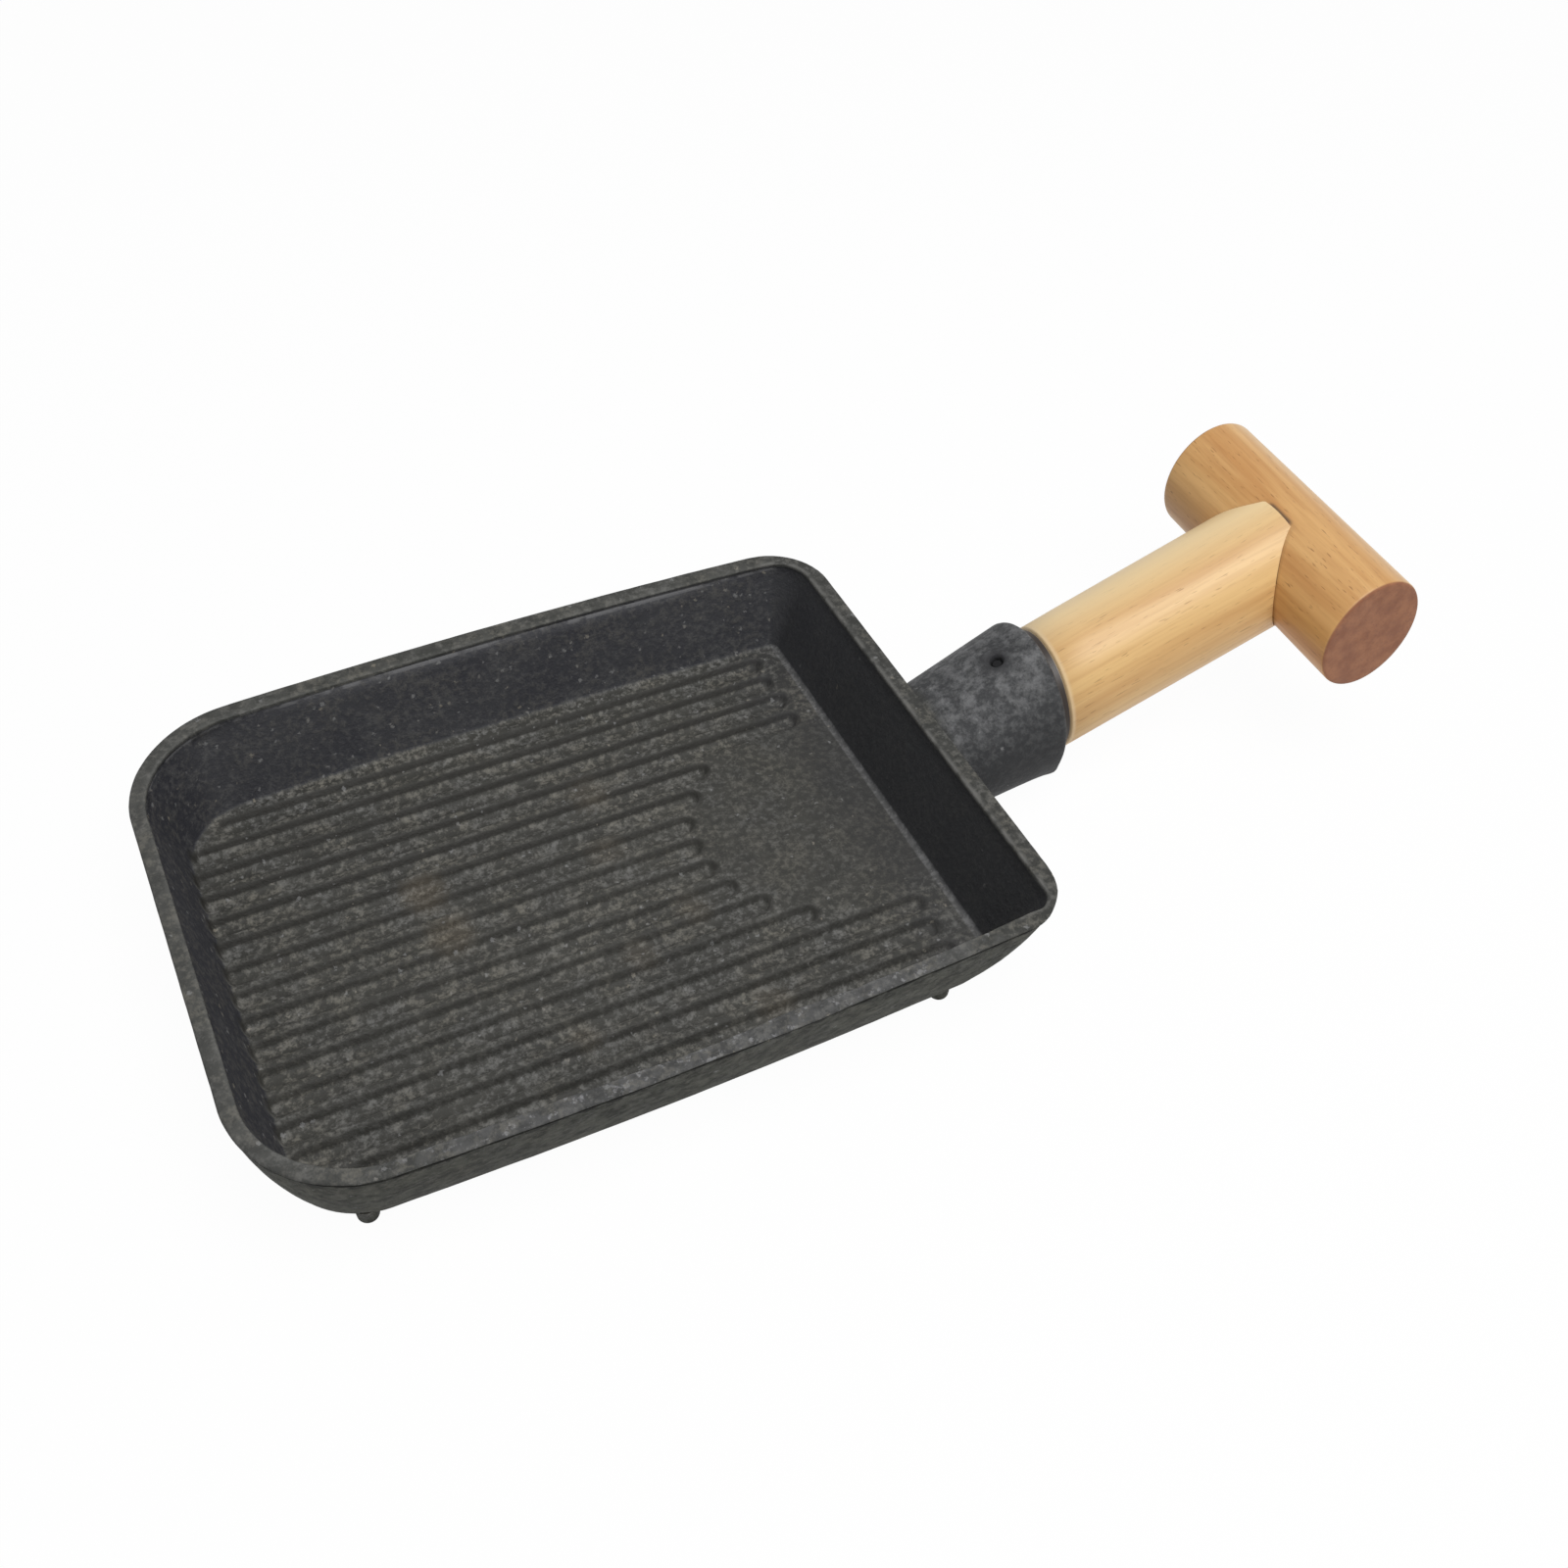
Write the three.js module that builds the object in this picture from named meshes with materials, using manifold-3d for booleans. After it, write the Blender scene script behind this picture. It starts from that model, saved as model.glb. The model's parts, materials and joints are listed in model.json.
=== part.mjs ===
// Cast-iron grill pan with a wooden T-shaped handle, in millimetres, +Z up.
// The pan stands on four feet on the plane z = 0 and its handle points along +X.
// The origin lies on that plane, under the middle of the whole length.

import * as THREE from 'three';
import { mergeVertices } from 'three/addons/utils/BufferGeometryUtils.js';
import Module from 'manifold-3d';

const wasm = await Module();
wasm.setup();

// Pan outline seen from above
const PAN_LENGTH = 195;
const PAN_WIDTH = 148; // measured at the corners
const SIDE_BOW = 3; // the middle of each long side stands out this far past its corners
const HANDLE_CORNER_RADIUS = 15.4;
const FREE_CORNER_RADIUS = 29.4;
const WELL_CORNER_RADIUS = 7; // the well's two corners by the handle

// Pan walls and heights
const FOOT_HEIGHT = 2.2;
const BODY_HEIGHT = 30; // underside to rim top
const WELL_DEPTH = 24; // rim top to the ridge tops
const RIM_WIDTH = 5.2;
const RIM_ROUND = 0.9;
const LIP_HEIGHT = 2.4; // rim top to the undercut below the rim
const LIP_OVERHANG = 0.5;
const FLOOR_INSET = 11.5; // rim edge to the foot of the inner wall
const FLOOR_FILLET = 1.6;
const BASE_INSET = 9.7; // rim edge to the foot of the outer wall
const WALL_BULGE = 0.9; // the outer wall's middle stands out this far past a straight wall
const BASE_ROUND = 3;
const FLOOR_LEAN = 1.2; // the floor lies this far nearer the free end than the rim does
const BASE_LEAN = 3; // the underside lies this far nearer the free end than the rim does

// Channels sunk into the floor, with a ridge left standing between neighbours
const CHANNEL_PITCH = 8.1;
const CHANNEL_WIDTH = 5.6;
const CHANNEL_DEPTH = 1.7;
const CHANNEL_DRAFT = 0.5; // each channel wall leans in this far over its depth
const CHANNEL_END_MARGIN = 0.6; // from the free end's wall foot to the channels
const CHANNEL_SIDE_MARGIN = 3; // least distance from a side wall's foot to a channel
const CHANNEL_SETBACK = 8; // from the handle end's wall foot to the channels
const PAD_RADIUS = 34.5; // smooth round pad that stops the middle channels
const PAD_FROM_HANDLE_END = 17; // from the handle end's wall foot to the pad's centre
const PAD_OFFSET = -2.5; // the pad's centre lies this far from the long centreline

// Feet under the corners
const FOOT_RADIUS = 2.6;
const FOOT_FLAT_RADIUS = 1.5;
const FOOT_FROM_END = 25.5; // rim's end edge to foot centre, before the lean of the underside
const FOOT_FROM_SIDE = 11.5; // rim's side edge at the corners to foot centre

// Handle socket, cast with the pan
const HANDLE_RISE = THREE.MathUtils.degToRad(16.9);
const MOUTH_REACH = 31.1; // rim's handle end to the middle of the socket's mouth
const MOUTH_DROP = 8.7; // rim top down to the middle of the socket's mouth
const SOCKET_FIT = 0.4;
const SOCKET_WALL = 4.1; // at the mouth
const SOCKET_LENGTH = 32.5; // mouth to the pan's end wall
const SOCKET_SIDE_TAPER = 2; // narrowing of each side towards the pan
const SOCKET_TOP_TAPER = 4.4; // narrowing of the top and underside towards the pan
const SOCKET_ROOT_LENGTH = 14; // rounded root that runs into the pan's end wall
const BORE_DEPTH = 12; // mouth to the shoulder where the bore narrows
const MOUTH_ROUND = 1.6;
const MOUTH_TILT = THREE.MathUtils.degToRad(12); // the mouth's face leans back from square to the handle

// Wooden handle
const STEM_RADIUS = 16.7;
const TENON_RADIUS = 10; // the stem's inner end, turned down
const TENON_LENGTH = 14;
const STEM_REACH = 84.5; // socket mouth to the crossbar's axis
const TIP_TRIM = 2.5; // the stem's thin tips stop this far short of the crossbar's axis
const CROSSBAR_RADIUS = 16.2;
const CROSSBAR_LENGTH = 75;
const CROSSBAR_TWIST = THREE.MathUtils.degToRad(3); // about the stem, its -Y end down
const EASED_EDGE = 0.9;
const GLUE_GAP = 0.3;
const SEAT_GAP = 0.3;
const DOWEL_RADIUS = 5;
const DOWEL_LENGTH = 36;
const DOWEL_CHAMFER = 1;
const DOWEL_FIT = 0.3;

// Pin through the socket into the stem
const PIN_RADIUS = 1.5;
const PIN_LENGTH = 14;
const PIN_CHAMFER = 0.4;
const PIN_SETBACK = 5.5; // socket mouth to the pin's axis
const PIN_SINK = 1.6; // the pin's top lies this far below the socket's skin
const PIN_FIT = 0.3;

// Fineness of the round shapes
const CORNER_STEPS = 6;
const SIDE_STEPS = 8;
const CURVE_STEPS = 4;
const SLOT_END_STEPS = 5;
const ROUND_STEPS = 40;
const FOOT_STEPS = 14;
const PIN_STEPS = 12;

// Places worked out from the sizes above
const baseHeight = FOOT_HEIGHT;
const rimHeight = baseHeight + BODY_HEIGHT;
const floorHeight = rimHeight - WELL_DEPTH;
const floorFreeEnd = FLOOR_INSET - PAN_LENGTH / 2 - FLOOR_LEAN;
const floorHandleEnd = PAN_LENGTH / 2 - FLOOR_INSET - FLOOR_LEAN;
const floorHalfWidth = PAN_WIDTH / 2 - FLOOR_INSET;
const channelRoom = floorHalfWidth - CHANNEL_SIDE_MARGIN - CHANNEL_WIDTH / 2;
const channelsEachSide = Math.floor(channelRoom / CHANNEL_PITCH);
const boreRadius = STEM_RADIUS + SOCKET_FIT;
const mouthRadius = boreRadius + SOCKET_WALL;
const mouthCentre = new THREE.Vector3(PAN_LENGTH / 2 + MOUTH_REACH, 0, rimHeight - MOUTH_DROP);
const jointReach = STEM_REACH - CROSSBAR_RADIUS;
const crossbarEnd = mouthCentre.x + STEM_REACH * Math.cos(HANDLE_RISE) + CROSSBAR_RADIUS;
const middleOfLength = (crossbarEnd - PAN_LENGTH / 2) / 2;

// Closed solid through a stack of rings with equal point counts, each ring convex.
function loft(rings) {
  const count = rings[0].length;
  const positions = rings.flat().flatMap((point) => point.toArray());
  const triangles = [];
  for (let level = 0; level + 1 < rings.length; level += 1) {
    for (let i = 0; i < count; i += 1) {
      const low = level * count;
      const high = low + count;
      const next = (i + 1) % count;
      triangles.push(low + i, low + next, high + next, low + i, high + next, high + i);
    }
  }
  const lastRing = (rings.length - 1) * count;
  for (let i = 1; i + 1 < count; i += 1) {
    triangles.push(0, i + 1, i, lastRing, lastRing + i, lastRing + i + 1);
  }
  const geometry = new THREE.BufferGeometry();
  geometry.setAttribute('position', new THREE.Float32BufferAttribute(positions, 3));
  geometry.setIndex(triangles);
  return geometry;
}

// Round solid about the Y axis from a profile that starts and ends on the axis.
function turned(profile, steps) {
  const points = profile.map(([radius, along]) => new THREE.Vector2(radius, along));
  return new THREE.LatheGeometry(points, steps);
}

// Round bar about the Y axis, from one end to the other, with cut-off edges.
function roundBar(radius, start, end, edge, steps) {
  return turned(
    [
      [0, start],
      [radius - edge, start],
      [radius, start + edge],
      [radius, end - edge],
      [radius - edge, end],
      [0, end],
    ],
    steps,
  );
}

function alongX(geometry) {
  return geometry.rotateZ(-Math.PI / 2);
}

function alongZ(geometry) {
  return geometry.rotateX(Math.PI / 2);
}

function toSolid(geometry) {
  const bare = geometry.clone();
  bare.deleteAttribute('normal');
  bare.deleteAttribute('uv');
  const merged = mergeVertices(bare, 1e-4);
  return new wasm.Manifold(
    new wasm.Mesh({
      numProp: 3,
      vertProperties: new Float32Array(merged.attributes.position.array),
      triVerts: new Uint32Array(merged.index.array),
    }),
  );
}

function toMesh(solid, name, material) {
  const result = solid.getMesh();
  const geometry = new THREE.BufferGeometry();
  geometry.setAttribute('position', new THREE.BufferAttribute(result.vertProperties, 3));
  geometry.setIndex(new THREE.BufferAttribute(result.triVerts, 1));
  const mesh = new THREE.Mesh(geometry, material);
  mesh.name = name;
  return mesh;
}

// The pan's outline, moved in by inset, with its long sides bowed outwards.
// Each corner's radius shrinks by its own inset, and the whole outline moves by shift along X.
function panRing(inset, handleCornerInset, freeCornerInset, height, shift) {
  const halfLength = PAN_LENGTH / 2 - inset;
  const halfWidth = PAN_WIDTH / 2 - inset;
  const corners = [
    [1, 1, HANDLE_CORNER_RADIUS - handleCornerInset],
    [-1, 1, FREE_CORNER_RADIUS - freeCornerInset],
    [-1, -1, FREE_CORNER_RADIUS - freeCornerInset],
    [1, -1, HANDLE_CORNER_RADIUS - handleCornerInset],
  ];
  const outline = [];
  corners.forEach(([sideX, sideY, radius], index) => {
    const centreX = sideX * (halfLength - radius);
    const centreY = sideY * (halfWidth - radius);
    for (let step = 0; step <= CORNER_STEPS; step += 1) {
      const angle = (index + step / CORNER_STEPS) * (Math.PI / 2);
      outline.push([centreX + radius * Math.cos(angle), centreY + radius * Math.sin(angle)]);
    }
    if (index % 2 === 0) {
      const nextX = -sideX * (halfLength - corners[index + 1][2]);
      for (let step = 1; step < SIDE_STEPS; step += 1) {
        const x = THREE.MathUtils.lerp(centreX, nextX, step / SIDE_STEPS);
        outline.push([x, sideY * halfWidth]);
      }
    }
  });
  return outline.map(([x, y]) => {
    const bow = SIDE_BOW * (1 - (x / (PAN_LENGTH / 2)) ** 2);
    return new THREE.Vector3(x + shift, y + (bow * y) / (PAN_WIDTH / 2), height);
  });
}

// Outside of the pan as a solid block, from its underside up over the lip to the rim top.
function panBlock() {
  const wall = new THREE.Path();
  wall.moveTo(BASE_INSET + BASE_ROUND, baseHeight);
  wall.quadraticCurveTo(BASE_INSET, baseHeight, BASE_INSET - BASE_ROUND / 3, baseHeight + BASE_ROUND);
  const middle = wall.currentPoint.clone().add(new THREE.Vector2(LIP_OVERHANG, rimHeight - LIP_HEIGHT)).divideScalar(2);
  wall.quadraticCurveTo(middle.x - 2 * WALL_BULGE, middle.y, LIP_OVERHANG, rimHeight - LIP_HEIGHT);
  wall.lineTo(0, rimHeight - LIP_HEIGHT + LIP_OVERHANG / 2);
  wall.lineTo(0, rimHeight - RIM_ROUND);
  wall.quadraticCurveTo(0, rimHeight, RIM_ROUND, rimHeight);
  const rings = wall.getPoints(CURVE_STEPS).map(({ x, y }) => {
    const shift = (-BASE_LEAN * (rimHeight - y)) / BODY_HEIGHT;
    return panRing(x, 0, x / 2, y, shift);
  });
  return loft(rings);
}

// Hollow of the pan, from the floor up the inner wall and out over the rim's rounded inner edge.
function panWell() {
  const wall = new THREE.Path();
  wall.moveTo(FLOOR_INSET + FLOOR_FILLET, floorHeight);
  wall.quadraticCurveTo(FLOOR_INSET, floorHeight, FLOOR_INSET - FLOOR_FILLET / 4, floorHeight + FLOOR_FILLET);
  wall.lineTo(RIM_WIDTH, rimHeight - RIM_ROUND);
  wall.quadraticCurveTo(RIM_WIDTH, rimHeight, RIM_WIDTH - RIM_ROUND, rimHeight);
  wall.lineTo(RIM_WIDTH - RIM_ROUND, rimHeight + RIM_ROUND);
  const rings = wall.getPoints(CURVE_STEPS).map(({ x, y }) => {
    const shift = (-FLOOR_LEAN * (rimHeight - y)) / WELL_DEPTH;
    return panRing(x, HANDLE_CORNER_RADIUS - WELL_CORNER_RADIUS, x, y, shift);
  });
  return loft(rings);
}

function slotRing(startX, endX, centreY, halfWidth, inset, height) {
  const radius = halfWidth - inset;
  const ring = [];
  for (let step = 0; step <= SLOT_END_STEPS; step += 1) {
    const angle = (step / SLOT_END_STEPS - 0.5) * Math.PI;
    const x = endX - halfWidth + radius * Math.cos(angle);
    ring.push(new THREE.Vector3(x, centreY + radius * Math.sin(angle), height));
  }
  for (let step = 0; step <= SLOT_END_STEPS; step += 1) {
    const angle = (step / SLOT_END_STEPS + 0.5) * Math.PI;
    const x = startX + halfWidth + radius * Math.cos(angle);
    ring.push(new THREE.Vector3(x, centreY + radius * Math.sin(angle), height));
  }
  return ring;
}

// Where the wall foot at the pan's free end lies for a given distance from the centreline.
function freeEndFoot(distance) {
  const radius = FREE_CORNER_RADIUS - FLOOR_INSET;
  const past = Math.max(0, Math.abs(distance) - (floorHalfWidth - radius));
  const drop = radius - Math.sqrt(Math.max(0, radius ** 2 - Math.min(past, radius) ** 2));
  return floorFreeEnd + drop;
}

function channelEnd(centreY) {
  const fromPad = centreY - PAD_OFFSET;
  if (Math.abs(fromPad) < PAD_RADIUS) {
    return floorHandleEnd - PAD_FROM_HANDLE_END - Math.sqrt(PAD_RADIUS ** 2 - fromPad ** 2);
  }
  return floorHandleEnd - CHANNEL_SETBACK;
}

function channel(index) {
  const centreY = index * CHANNEL_PITCH;
  const halfWidth = CHANNEL_WIDTH / 2;
  const startX = freeEndFoot(Math.abs(centreY) + halfWidth) + CHANNEL_END_MARGIN;
  const endX = channelEnd(centreY);
  const bottom = slotRing(startX, endX, centreY, halfWidth, CHANNEL_DRAFT, floorHeight - CHANNEL_DEPTH);
  const top = slotRing(startX, endX, centreY, halfWidth, -CHANNEL_DRAFT, floorHeight + CHANNEL_DEPTH);
  return loft([bottom, top]);
}

function foot(sideX, sideY) {
  const waist = FOOT_HEIGHT / 2;
  const profile = new THREE.Path();
  profile.moveTo(0, 0);
  profile.lineTo(FOOT_FLAT_RADIUS, 0);
  profile.quadraticCurveTo(FOOT_RADIUS, 0, FOOT_RADIUS, waist);
  profile.lineTo(FOOT_RADIUS, baseHeight + BASE_ROUND);
  profile.lineTo(0, baseHeight + BASE_ROUND);
  const geometry = alongZ(new THREE.LatheGeometry(profile.getPoints(CURVE_STEPS), FOOT_STEPS));
  const x = sideX * (PAN_LENGTH / 2 - FOOT_FROM_END) - BASE_LEAN;
  const y = sideY * (PAN_WIDTH / 2 - FOOT_FROM_SIDE);
  return geometry.translate(x, y, 0);
}

// Half width and half height of the socket at a distance from its mouth.
function socketSize(fromMouth) {
  const share = fromMouth / SOCKET_LENGTH;
  return [mouthRadius - SOCKET_SIDE_TAPER * share, mouthRadius - SOCKET_TOP_TAPER * share];
}

// Oval ring round the socket. The rings stand ever squarer to the handle away from the mouth.
function socketRing(halfWidth, halfHeight, fromMouth) {
  const tilt = Math.tan(MOUTH_TILT) * Math.max(0, 1 - fromMouth / SOCKET_LENGTH);
  const ring = [];
  for (let step = 0; step < ROUND_STEPS; step += 1) {
    const angle = (step / ROUND_STEPS) * 2 * Math.PI;
    const y = halfWidth * Math.cos(angle);
    const z = halfHeight * Math.sin(angle);
    ring.push(new THREE.Vector3(z * tilt - fromMouth, y, z));
  }
  return ring;
}

// Outside of the socket in the handle's own frame: +X out of the mouth, +Z up.
function socketBlock() {
  const [rootWidth, rootHeight] = socketSize(SOCKET_LENGTH);
  const rings = [];
  for (let step = 1; step < CURVE_STEPS; step += 1) {
    const angle = (step / CURVE_STEPS) * (Math.PI / 2);
    const fromMouth = SOCKET_LENGTH + SOCKET_ROOT_LENGTH * Math.cos(angle);
    rings.push(socketRing(rootWidth * Math.sin(angle), rootHeight * Math.sin(angle), fromMouth));
  }
  for (let step = 0; step < CURVE_STEPS; step += 1) {
    const fromMouth = THREE.MathUtils.lerp(SOCKET_LENGTH, MOUTH_ROUND, step / CURVE_STEPS);
    const [width, height] = socketSize(fromMouth);
    rings.push(socketRing(width, height, fromMouth));
  }
  for (let step = 0; step <= CURVE_STEPS; step += 1) {
    const angle = (step / CURVE_STEPS) * (Math.PI / 2);
    const radius = mouthRadius - MOUTH_ROUND * (1 - Math.cos(angle));
    rings.push(socketRing(radius, radius, MOUTH_ROUND * (1 - Math.sin(angle))));
  }
  return loft(rings);
}

function socketBore() {
  const bottom = -BORE_DEPTH - TENON_LENGTH;
  const clear = 2 * SOCKET_WALL;
  const bore = [
    [0, bottom],
    [TENON_RADIUS + SOCKET_FIT, bottom],
    [TENON_RADIUS + SOCKET_FIT, -BORE_DEPTH],
    [boreRadius, -BORE_DEPTH],
    [boreRadius, clear],
    [0, clear],
  ];
  return alongX(turned(bore, ROUND_STEPS));
}

function pinHole(bottom) {
  const hole = [
    [0, bottom],
    [PIN_RADIUS + PIN_FIT, bottom],
    [PIN_RADIUS + PIN_FIT, mouthRadius + SOCKET_WALL],
    [0, mouthRadius + SOCKET_WALL],
  ];
  return alongZ(turned(hole, PIN_STEPS)).translate(-PIN_SETBACK, 0, 0);
}

function dowelHole() {
  const half = DOWEL_LENGTH / 2 + SEAT_GAP;
  const radius = DOWEL_RADIUS + DOWEL_FIT;
  const hole = [
    [0, jointReach - half],
    [radius, jointReach - half],
    [radius, jointReach + half],
    [0, jointReach + half],
  ];
  return alongX(turned(hole, ROUND_STEPS / 2));
}

function crossbarStock(radius, edge) {
  const half = CROSSBAR_LENGTH / 2;
  return roundBar(radius, -half, half, edge, ROUND_STEPS).translate(STEM_REACH, 0, 0).rotateX(CROSSBAR_TWIST);
}

const pinTop = socketSize(PIN_SETBACK)[1] - PIN_SINK;
const pinBottom = pinTop - PIN_LENGTH;

const handleFrame = new THREE.Group();
handleFrame.position.copy(mouthCentre);
handleFrame.rotation.y = -HANDLE_RISE;
handleFrame.updateMatrix();

function castingSolid() {
  const inPanFrame = (geometry) => toSolid(geometry.applyMatrix4(handleFrame.matrix));
  const socket = inPanFrame(socketBlock()).trimByPlane([0, 0, 1], baseHeight);
  let casting = toSolid(panBlock()).add(socket);
  for (const sideX of [-1, 1]) {
    for (const sideY of [-1, 1]) {
      casting = casting.add(toSolid(foot(sideX, sideY)));
    }
  }
  casting = casting.subtract(toSolid(panWell()));
  for (let index = -channelsEachSide; index <= channelsEachSide; index += 1) {
    casting = casting.subtract(toSolid(channel(index)));
  }
  return casting.subtract(inPanFrame(socketBore())).subtract(inPanFrame(pinHole(0)));
}

function stemSolid() {
  const shoulder = SEAT_GAP - BORE_DEPTH;
  const inner = shoulder - TENON_LENGTH;
  const tip = STEM_REACH - TIP_TRIM;
  const profile = [
    [0, inner],
    [TENON_RADIUS - EASED_EDGE, inner],
    [TENON_RADIUS, inner + EASED_EDGE],
    [TENON_RADIUS, shoulder],
    [STEM_RADIUS - EASED_EDGE, shoulder],
    [STEM_RADIUS, shoulder + EASED_EDGE],
    [STEM_RADIUS, tip],
    [0, tip],
  ];
  return toSolid(alongX(turned(profile, ROUND_STEPS)))
    .subtract(toSolid(crossbarStock(CROSSBAR_RADIUS + GLUE_GAP, 0)))
    .subtract(toSolid(dowelHole()))
    .subtract(toSolid(pinHole(pinBottom - PIN_FIT)));
}

function crossbarSolid() {
  return toSolid(crossbarStock(CROSSBAR_RADIUS, EASED_EDGE)).subtract(toSolid(dowelHole()));
}

function dowelSolid() {
  const half = DOWEL_LENGTH / 2;
  const start = jointReach - half;
  const end = jointReach + half;
  return toSolid(alongX(roundBar(DOWEL_RADIUS, start, end, DOWEL_CHAMFER, ROUND_STEPS / 2)));
}

function pinSolid() {
  const pin = alongZ(roundBar(PIN_RADIUS, pinBottom, pinTop, PIN_CHAMFER, PIN_STEPS));
  return toSolid(pin.translate(-PIN_SETBACK, 0, 0));
}

const castIron = new THREE.MeshStandardMaterial({ color: 0x3a3a3b, roughness: 0.75, metalness: 0.5 });
const stemWood = new THREE.MeshStandardMaterial({ color: 0xd9a566, roughness: 0.45, metalness: 0 });
const crossbarWood = new THREE.MeshStandardMaterial({ color: 0xc78d52, roughness: 0.45, metalness: 0 });
const dowelWood = new THREE.MeshStandardMaterial({ color: 0xcfa877, roughness: 0.7, metalness: 0 });
const pinSteel = new THREE.MeshStandardMaterial({ color: 0x6d6a66, roughness: 0.4, metalness: 1 });

handleFrame.add(toMesh(stemSolid(), 'handle_stem', stemWood));
handleFrame.add(toMesh(crossbarSolid(), 'handle_crossbar', crossbarWood));
handleFrame.add(toMesh(dowelSolid(), 'crossbar_dowel', dowelWood));
handleFrame.add(toMesh(pinSolid(), 'handle_pin', pinSteel));

const pan = new THREE.Group();
pan.add(toMesh(castingSolid(), 'pan_casting', castIron));
pan.add(handleFrame);
pan.position.x = -middleOfLength;

const grillPan = new THREE.Group();
grillPan.add(pan);

export default grillPan;
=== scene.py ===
"""Looks of a cast-iron grill pan with a wooden T-shaped handle, with its floor, light and camera.

Sizes are written in millimetres and turned to metres by MM. +X points along the handle and +Z up.
"""

import json
import math

import bpy
from mathutils import Matrix, Vector


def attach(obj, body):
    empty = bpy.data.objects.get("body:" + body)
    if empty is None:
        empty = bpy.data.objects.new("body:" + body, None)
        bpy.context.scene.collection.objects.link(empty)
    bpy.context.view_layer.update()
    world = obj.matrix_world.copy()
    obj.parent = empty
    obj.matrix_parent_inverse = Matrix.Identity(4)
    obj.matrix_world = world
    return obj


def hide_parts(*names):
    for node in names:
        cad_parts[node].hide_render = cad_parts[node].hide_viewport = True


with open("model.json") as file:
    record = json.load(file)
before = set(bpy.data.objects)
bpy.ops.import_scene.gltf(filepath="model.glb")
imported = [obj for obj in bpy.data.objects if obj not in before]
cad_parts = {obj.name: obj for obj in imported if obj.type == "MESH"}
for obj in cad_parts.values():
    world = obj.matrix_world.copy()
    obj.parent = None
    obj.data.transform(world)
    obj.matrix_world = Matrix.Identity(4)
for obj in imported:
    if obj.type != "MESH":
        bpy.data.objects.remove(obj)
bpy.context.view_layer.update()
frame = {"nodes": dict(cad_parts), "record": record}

MM = 0.001

# Pan outline seen from above
PAN_LENGTH = 195 * MM
PAN_WIDTH = 148 * MM
SIDE_BOW = 3 * MM
HANDLE_CORNER_RADII = (13.4 * MM, 16.4 * MM)
FREE_CORNER_RADIUS = 29.4 * MM
WELL_CORNER_RADII = (5 * MM, 9 * MM)
FLOOR_CORNER_RADIUS = 2.6 * MM
BASE_CORNER_RADII = (10 * MM, 6 * MM)
WELL_SHIFT_X = -0.4 * MM
WELL_SHIFT_Y = -0.55 * MM

# Pan heights and walls
BASE_HEIGHT = 2.2 * MM
RIM_HEIGHT = 32.2 * MM
WELL_DEPTH = 24 * MM
RIM_WIDTH = 4.3 * MM
RIM_ROUND = 0.55 * MM
RIM_INNER_ROUND = 0.5 * MM
FLOOR_INSET = 12.9 * MM
FLOOR_FILLET = 1.5 * MM
FLOOR_FILLET_SWEEP = math.radians(74)
LEDGE_DROP = 1.5 * MM
LEDGE_WIDTH = 0.5 * MM
LIP_DROP = 0.7 * MM
GROOVE_DEPTH = 0.8 * MM
GROOVE_HEIGHT = 1.3 * MM
WALL_BULGE = 0.8 * MM
BASE_INSET = 10.5 * MM
BASE_ROUND = 3 * MM
FLOOR_LEAN = 2.1 * MM
FLOOR_SIDE_INSET = 0.7 * MM
BASE_LEAN = 3 * MM
CAST_UNEVENNESS = 0.09 * MM
LIP_WAVE = 1.5 * MM

# Channels in the floor and the smooth pad
CHANNEL_PITCH = 8.1 * MM
CHANNEL_COUNT = 15
CHANNEL_HALF_WIDTH = 2.8 * MM
CHANNEL_DEPTH = 2.2 * MM
CHANNEL_EDGE_OUT = 0.8 * MM
CHANNEL_EDGE_IN = 1.7 * MM
CHANNEL_OVERRUN = 2.2 * MM
CHANNEL_SETBACK = 8 * MM
CHANNEL_END_VARIATION = 3.5 * MM
PAD_RADIUS = 34.5 * MM
PAD_SETBACK = 17 * MM
PAD_OFFSET = -2.5 * MM
WALL_FOOT_INSET = 10.6 * MM

# Grid of the floor: how far its columns give way to round corners, and its rows to bowed sides
CORNER_GIVE = 26 * MM
SIDE_GIVE = 1.3 * MM
FINE_STEP = 0.4 * MM
COARSE_STEP = 3.4 * MM

# Feet
FOOT_RADIUS = 2.6 * MM
FOOT_FLAT_RADIUS = 1.5 * MM

# Socket and handle
HANDLE_RISE = math.radians(16.9)
MOUTH_REACH = 31.1 * MM
MOUTH_DROP = 8.7 * MM
MOUTH_RADIUS = 21.2 * MM
MOUTH_ROUND = 1.8 * MM
MOUTH_TILT = math.radians(14.6)
MOUTH_ADVANCE = 0.8 * MM
BURR_ANGLE = math.radians(218)
BURR_SPREAD = math.radians(11)
BURR_HEIGHT = 0.8 * MM
BURR_LENGTH = 5 * MM
SOCKET_LENGTH = 32.5 * MM
SOCKET_SIDE_TAPER = 2 * MM
SOCKET_TOP_TAPER = 4.4 * MM
BORE_RADIUS = 17.1 * MM
BORE_DEPTH = 12 * MM
BORE_RUN_OUT = 12 * MM
TENON_RADIUS = 10 * MM
TENON_LENGTH = 14 * MM
TENON_FIT = 0.4 * MM
SEAT_GAP = 0.3 * MM
STEM_RADIUS = 16.9 * MM
STEM_FLARE = 0.3 * MM
STEM_LIFT = 0.3 * MM
STEM_ASIDE = 0.4 * MM
NECK_DEPTH = 0.7 * MM
NECK_END = 3.2 * MM
SHOULDER_END = 3.8 * MM
NECK_SKEW = 1.4 * MM
STEM_REACH = 84.1 * MM
TIP_TRIM = 2.4 * MM
GLUE_GAP = 0.15 * MM
CROSSBAR_RADIUS = 15.95 * MM
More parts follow.
